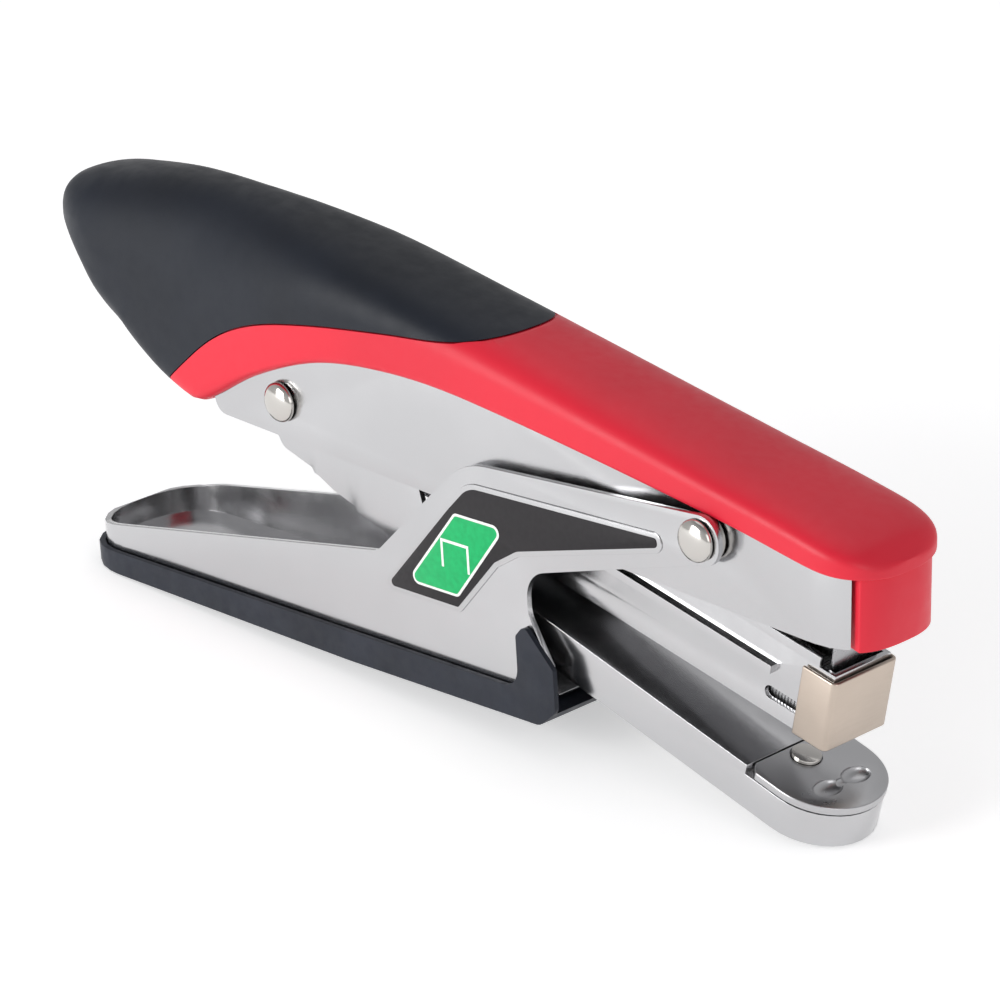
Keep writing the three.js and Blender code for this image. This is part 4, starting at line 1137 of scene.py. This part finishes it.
class STAPLER_OT_stage(bpy.types.Operator):
    """Set the floor, the lights and the camera"""

    bl_idname = "stapler.stage"
    bl_label = "Stage"

    def execute(self, context):
        stage = context.scene.stapler_stage
        work = bmesh.new()
        bmesh.ops.create_grid(work, x_segments=1, y_segments=1, size=4)
        floor = scratch_object(mesh_of(work, "floor"))
        floor.data.transform(Matrix.Translation((0, 0, -0.0004)))
        floor.data.materials.append(pale_floor(FLOOR_WHITE))

        world = bpy.data.worlds.new("Studio")
        context.scene.world = world
        world.use_nodes = True
        tree = world.node_tree
        sky = tree.nodes["Background"]
        sky.inputs["Strength"].default_value = stage.ambient
        spot = tree.nodes.new("ShaderNodeTexCoord")
        parts = tree.nodes.new("ShaderNodeSeparateXYZ")
        ramp = tree.nodes.new("ShaderNodeValToRGB")
        below, above = ramp.color_ramp.elements
        below.color = (0.8, 0.8, 0.8, 1)
        above.color = (0.34, 0.34, 0.35, 1)
        ramp.color_ramp.elements.new(0.5).color = (0.72, 0.72, 0.73, 1)
        link(
            tree,
            (spot.outputs["Generated"], parts.inputs[0]),
            (parts.outputs["Z"], ramp.inputs["Fac"]),
            (ramp.outputs["Color"], sky.inputs["Color"]),
        )

        for name, place, size, power in (
            ("key", (-0.45, -1.3, 0.4), 0.8, stage.key_power),
            ("front", (1.4, -0.4, 0.6), 0.8, stage.front_power),
            ("top", (-0.3, 0.5, 1.7), 1.4, stage.top_power),
        ):
            light = bpy.data.lights.new(name, "AREA")
            light.size = size
            light.energy = power
            lamp = bpy.data.objects.new(name, light)
            lamp.location = place
            lamp.rotation_euler = Vector(place).to_track_quat("Z", "Y").to_euler()
            context.scene.collection.objects.link(lamp)

        camera = bpy.data.cameras.new("camera")
        camera.sensor_width = 36
        camera.lens = stage.lens
        camera.clip_start = 0.01
        view = bpy.data.objects.new("camera", camera)
        context.scene.collection.objects.link(view)
        turn = (
            Matrix.Rotation(stage.azimuth, 4, "Z")
            @ Matrix.Rotation(math.pi / 2 - stage.elevation, 4, "X")
            @ Matrix.Rotation(stage.roll, 4, "Z")
        )
        back = turn.to_3x3() @ Vector((0, 0, 1))
        view.matrix_world = Matrix.Translation(Vector(stage.target) + back * stage.distance) @ turn
        context.scene.camera = view
        context.scene.view_settings.view_transform = "Standard"
        return {"FINISHED"}


# ---------- Settings ----------


class StaplerSizes(bpy.types.PropertyGroup):
    edge_ease: FloatProperty(
        name="Edge ease",
        description="How far the sheet edges are rounded, as a share of each part's own radius",
        default=1.0,
        min=0.2,
        max=1.5,
    )
    base_edge: FloatProperty(
        name="Base edge",
        description="Radius of the rubber base's edges",
        default=0.0006,
        unit="LENGTH",
    )
    rivet_radius: FloatProperty(
        name="Rivet radius",
        description="Radius of the domed heads on the pivots",
        default=0.0038,
        unit="LENGTH",
    )
    rivet_rise: FloatProperty(
        name="Rivet rise",
        description="Height of the domed heads",
        default=0.0019,
        unit="LENGTH",
    )
    staple_count: IntProperty(
        name="Staples",
        description="Number of staples in the stick",
        default=70,
        min=1,
    )


def tint(name, description, default):
    """A colour setting."""
    return FloatVectorProperty(
        name=name, description=description, default=default, subtype="COLOR", size=3, min=0, max=1
    )


class StaplerLooks(bpy.types.PropertyGroup):
    cover: tint("Cover", "Colour of the moulded cover", (0.7, 0.012, 0.034))
    grip: tint("Grip", "Colour of the soft grip", (0.006, 0.0085, 0.015))
    base: tint("Base", "Colour of the rubber base", (0.014, 0.017, 0.026))
    chrome: tint("Chrome", "Tint of the plated pressings", (0.57, 0.57, 0.58))
    nickel: tint("Nickel", "Tint of the nose block", (0.55, 0.47, 0.4))
    rivet: tint("Rivets", "Tint of the rivets", (0.6, 0.58, 0.55))
    anvil: tint("Anvil", "Tint of the anvil plate", (0.52, 0.52, 0.53))
    spring: tint("Springs", "Tint of the springs and the blade", (0.4, 0.4, 0.41))
    staple: tint("Staples", "Tint of the staples", (0.6, 0.6, 0.61))
    panel: tint("Panel", "Colour of the printed panel", (0.02, 0.018, 0.02))
    label: tint("Label", "Colour of the printed label", (0.012, 0.4, 0.125))


class StaplerStage(bpy.types.PropertyGroup):
    azimuth: FloatProperty(
        name="Azimuth",
        description="Camera's turn from the right side",
        default=math.radians(46.42),
        subtype="ANGLE",
    )
    elevation: FloatProperty(
        name="Elevation",
        description="Camera's height angle",
        default=math.radians(22.78),
        subtype="ANGLE",
    )
    roll: FloatProperty(
        name="Roll", description="Camera's lean", default=math.radians(-1.07), subtype="ANGLE"
    )
    distance: FloatProperty(
        name="Distance", description="Camera's distance from target", default=0.83, unit="LENGTH"
    )
    lens: FloatProperty(name="Lens", description="Focal length in millimetres", default=162)
    target: FloatVectorProperty(
        name="Target",
        description="Point in the middle of the view",
        default=(-0.00855, 0.01679, 0.02694),
        subtype="XYZ",
        unit="LENGTH",
    )
    ambient: FloatProperty(
        name="Ambient", description="Strength of the studio's own light", default=0.75
    )
    key_power: FloatProperty(
        name="Key", description="Power of the light on the right side", default=13, unit="POWER"
    )
    front_power: FloatProperty(
        name="Front", description="Power of the light on the nose", default=3, unit="POWER"
    )
    top_power: FloatProperty(
        name="Top", description="Power of the overhead light", default=4, unit="POWER"
    )


class STAPLER_PT_panel(bpy.types.Panel):
    bl_idname = "STAPLER_PT_panel"
    bl_label = "Plier stapler"
    bl_space_type = "VIEW_3D"
    bl_region_type = "UI"
    bl_category = "Stapler"

    def draw(self, context):
        layout = self.layout
        scene = context.scene
        for title, group in (
            ("Sizes", scene.stapler_sizes),
            ("Looks", scene.stapler_looks),
            ("Stage", scene.stapler_stage),
        ):
            box = layout.box()
            box.label(text=title)
            for name in group.__annotations__:
                box.prop(group, name)
        for operator in OPERATORS:
            layout.operator(operator.bl_idname)


SETTINGS = (StaplerSizes, StaplerLooks, StaplerStage)
OPERATORS = (
    STAPLER_OT_cover,
    STAPLER_OT_grip,
    STAPLER_OT_pressings,
    STAPLER_OT_rubber_base,
    STAPLER_OT_anvil,
    STAPLER_OT_rivets,
    STAPLER_OT_springs,
    STAPLER_OT_staples,
    STAPLER_OT_screws,
    STAPLER_OT_labels,
    STAPLER_OT_stage,
)
CLASSES = (*SETTINGS, *OPERATORS, STAPLER_PT_panel)


def register():
    for made in CLASSES:
        bpy.utils.register_class(made)
    bpy.types.Scene.stapler_sizes = PointerProperty(type=StaplerSizes)
    bpy.types.Scene.stapler_looks = PointerProperty(type=StaplerLooks)
    bpy.types.Scene.stapler_stage = PointerProperty(type=StaplerStage)


def unregister():
    del bpy.types.Scene.stapler_stage
    del bpy.types.Scene.stapler_looks
    del bpy.types.Scene.stapler_sizes
    for made in reversed(CLASSES):
        bpy.utils.unregister_class(made)


def main():
    """Builds every piece and the stage."""
    register()
    for operator in OPERATORS:
        group, name = operator.bl_idname.split(".")
        getattr(getattr(bpy.ops, group), name)()


if __name__ == "__main__":
    main()
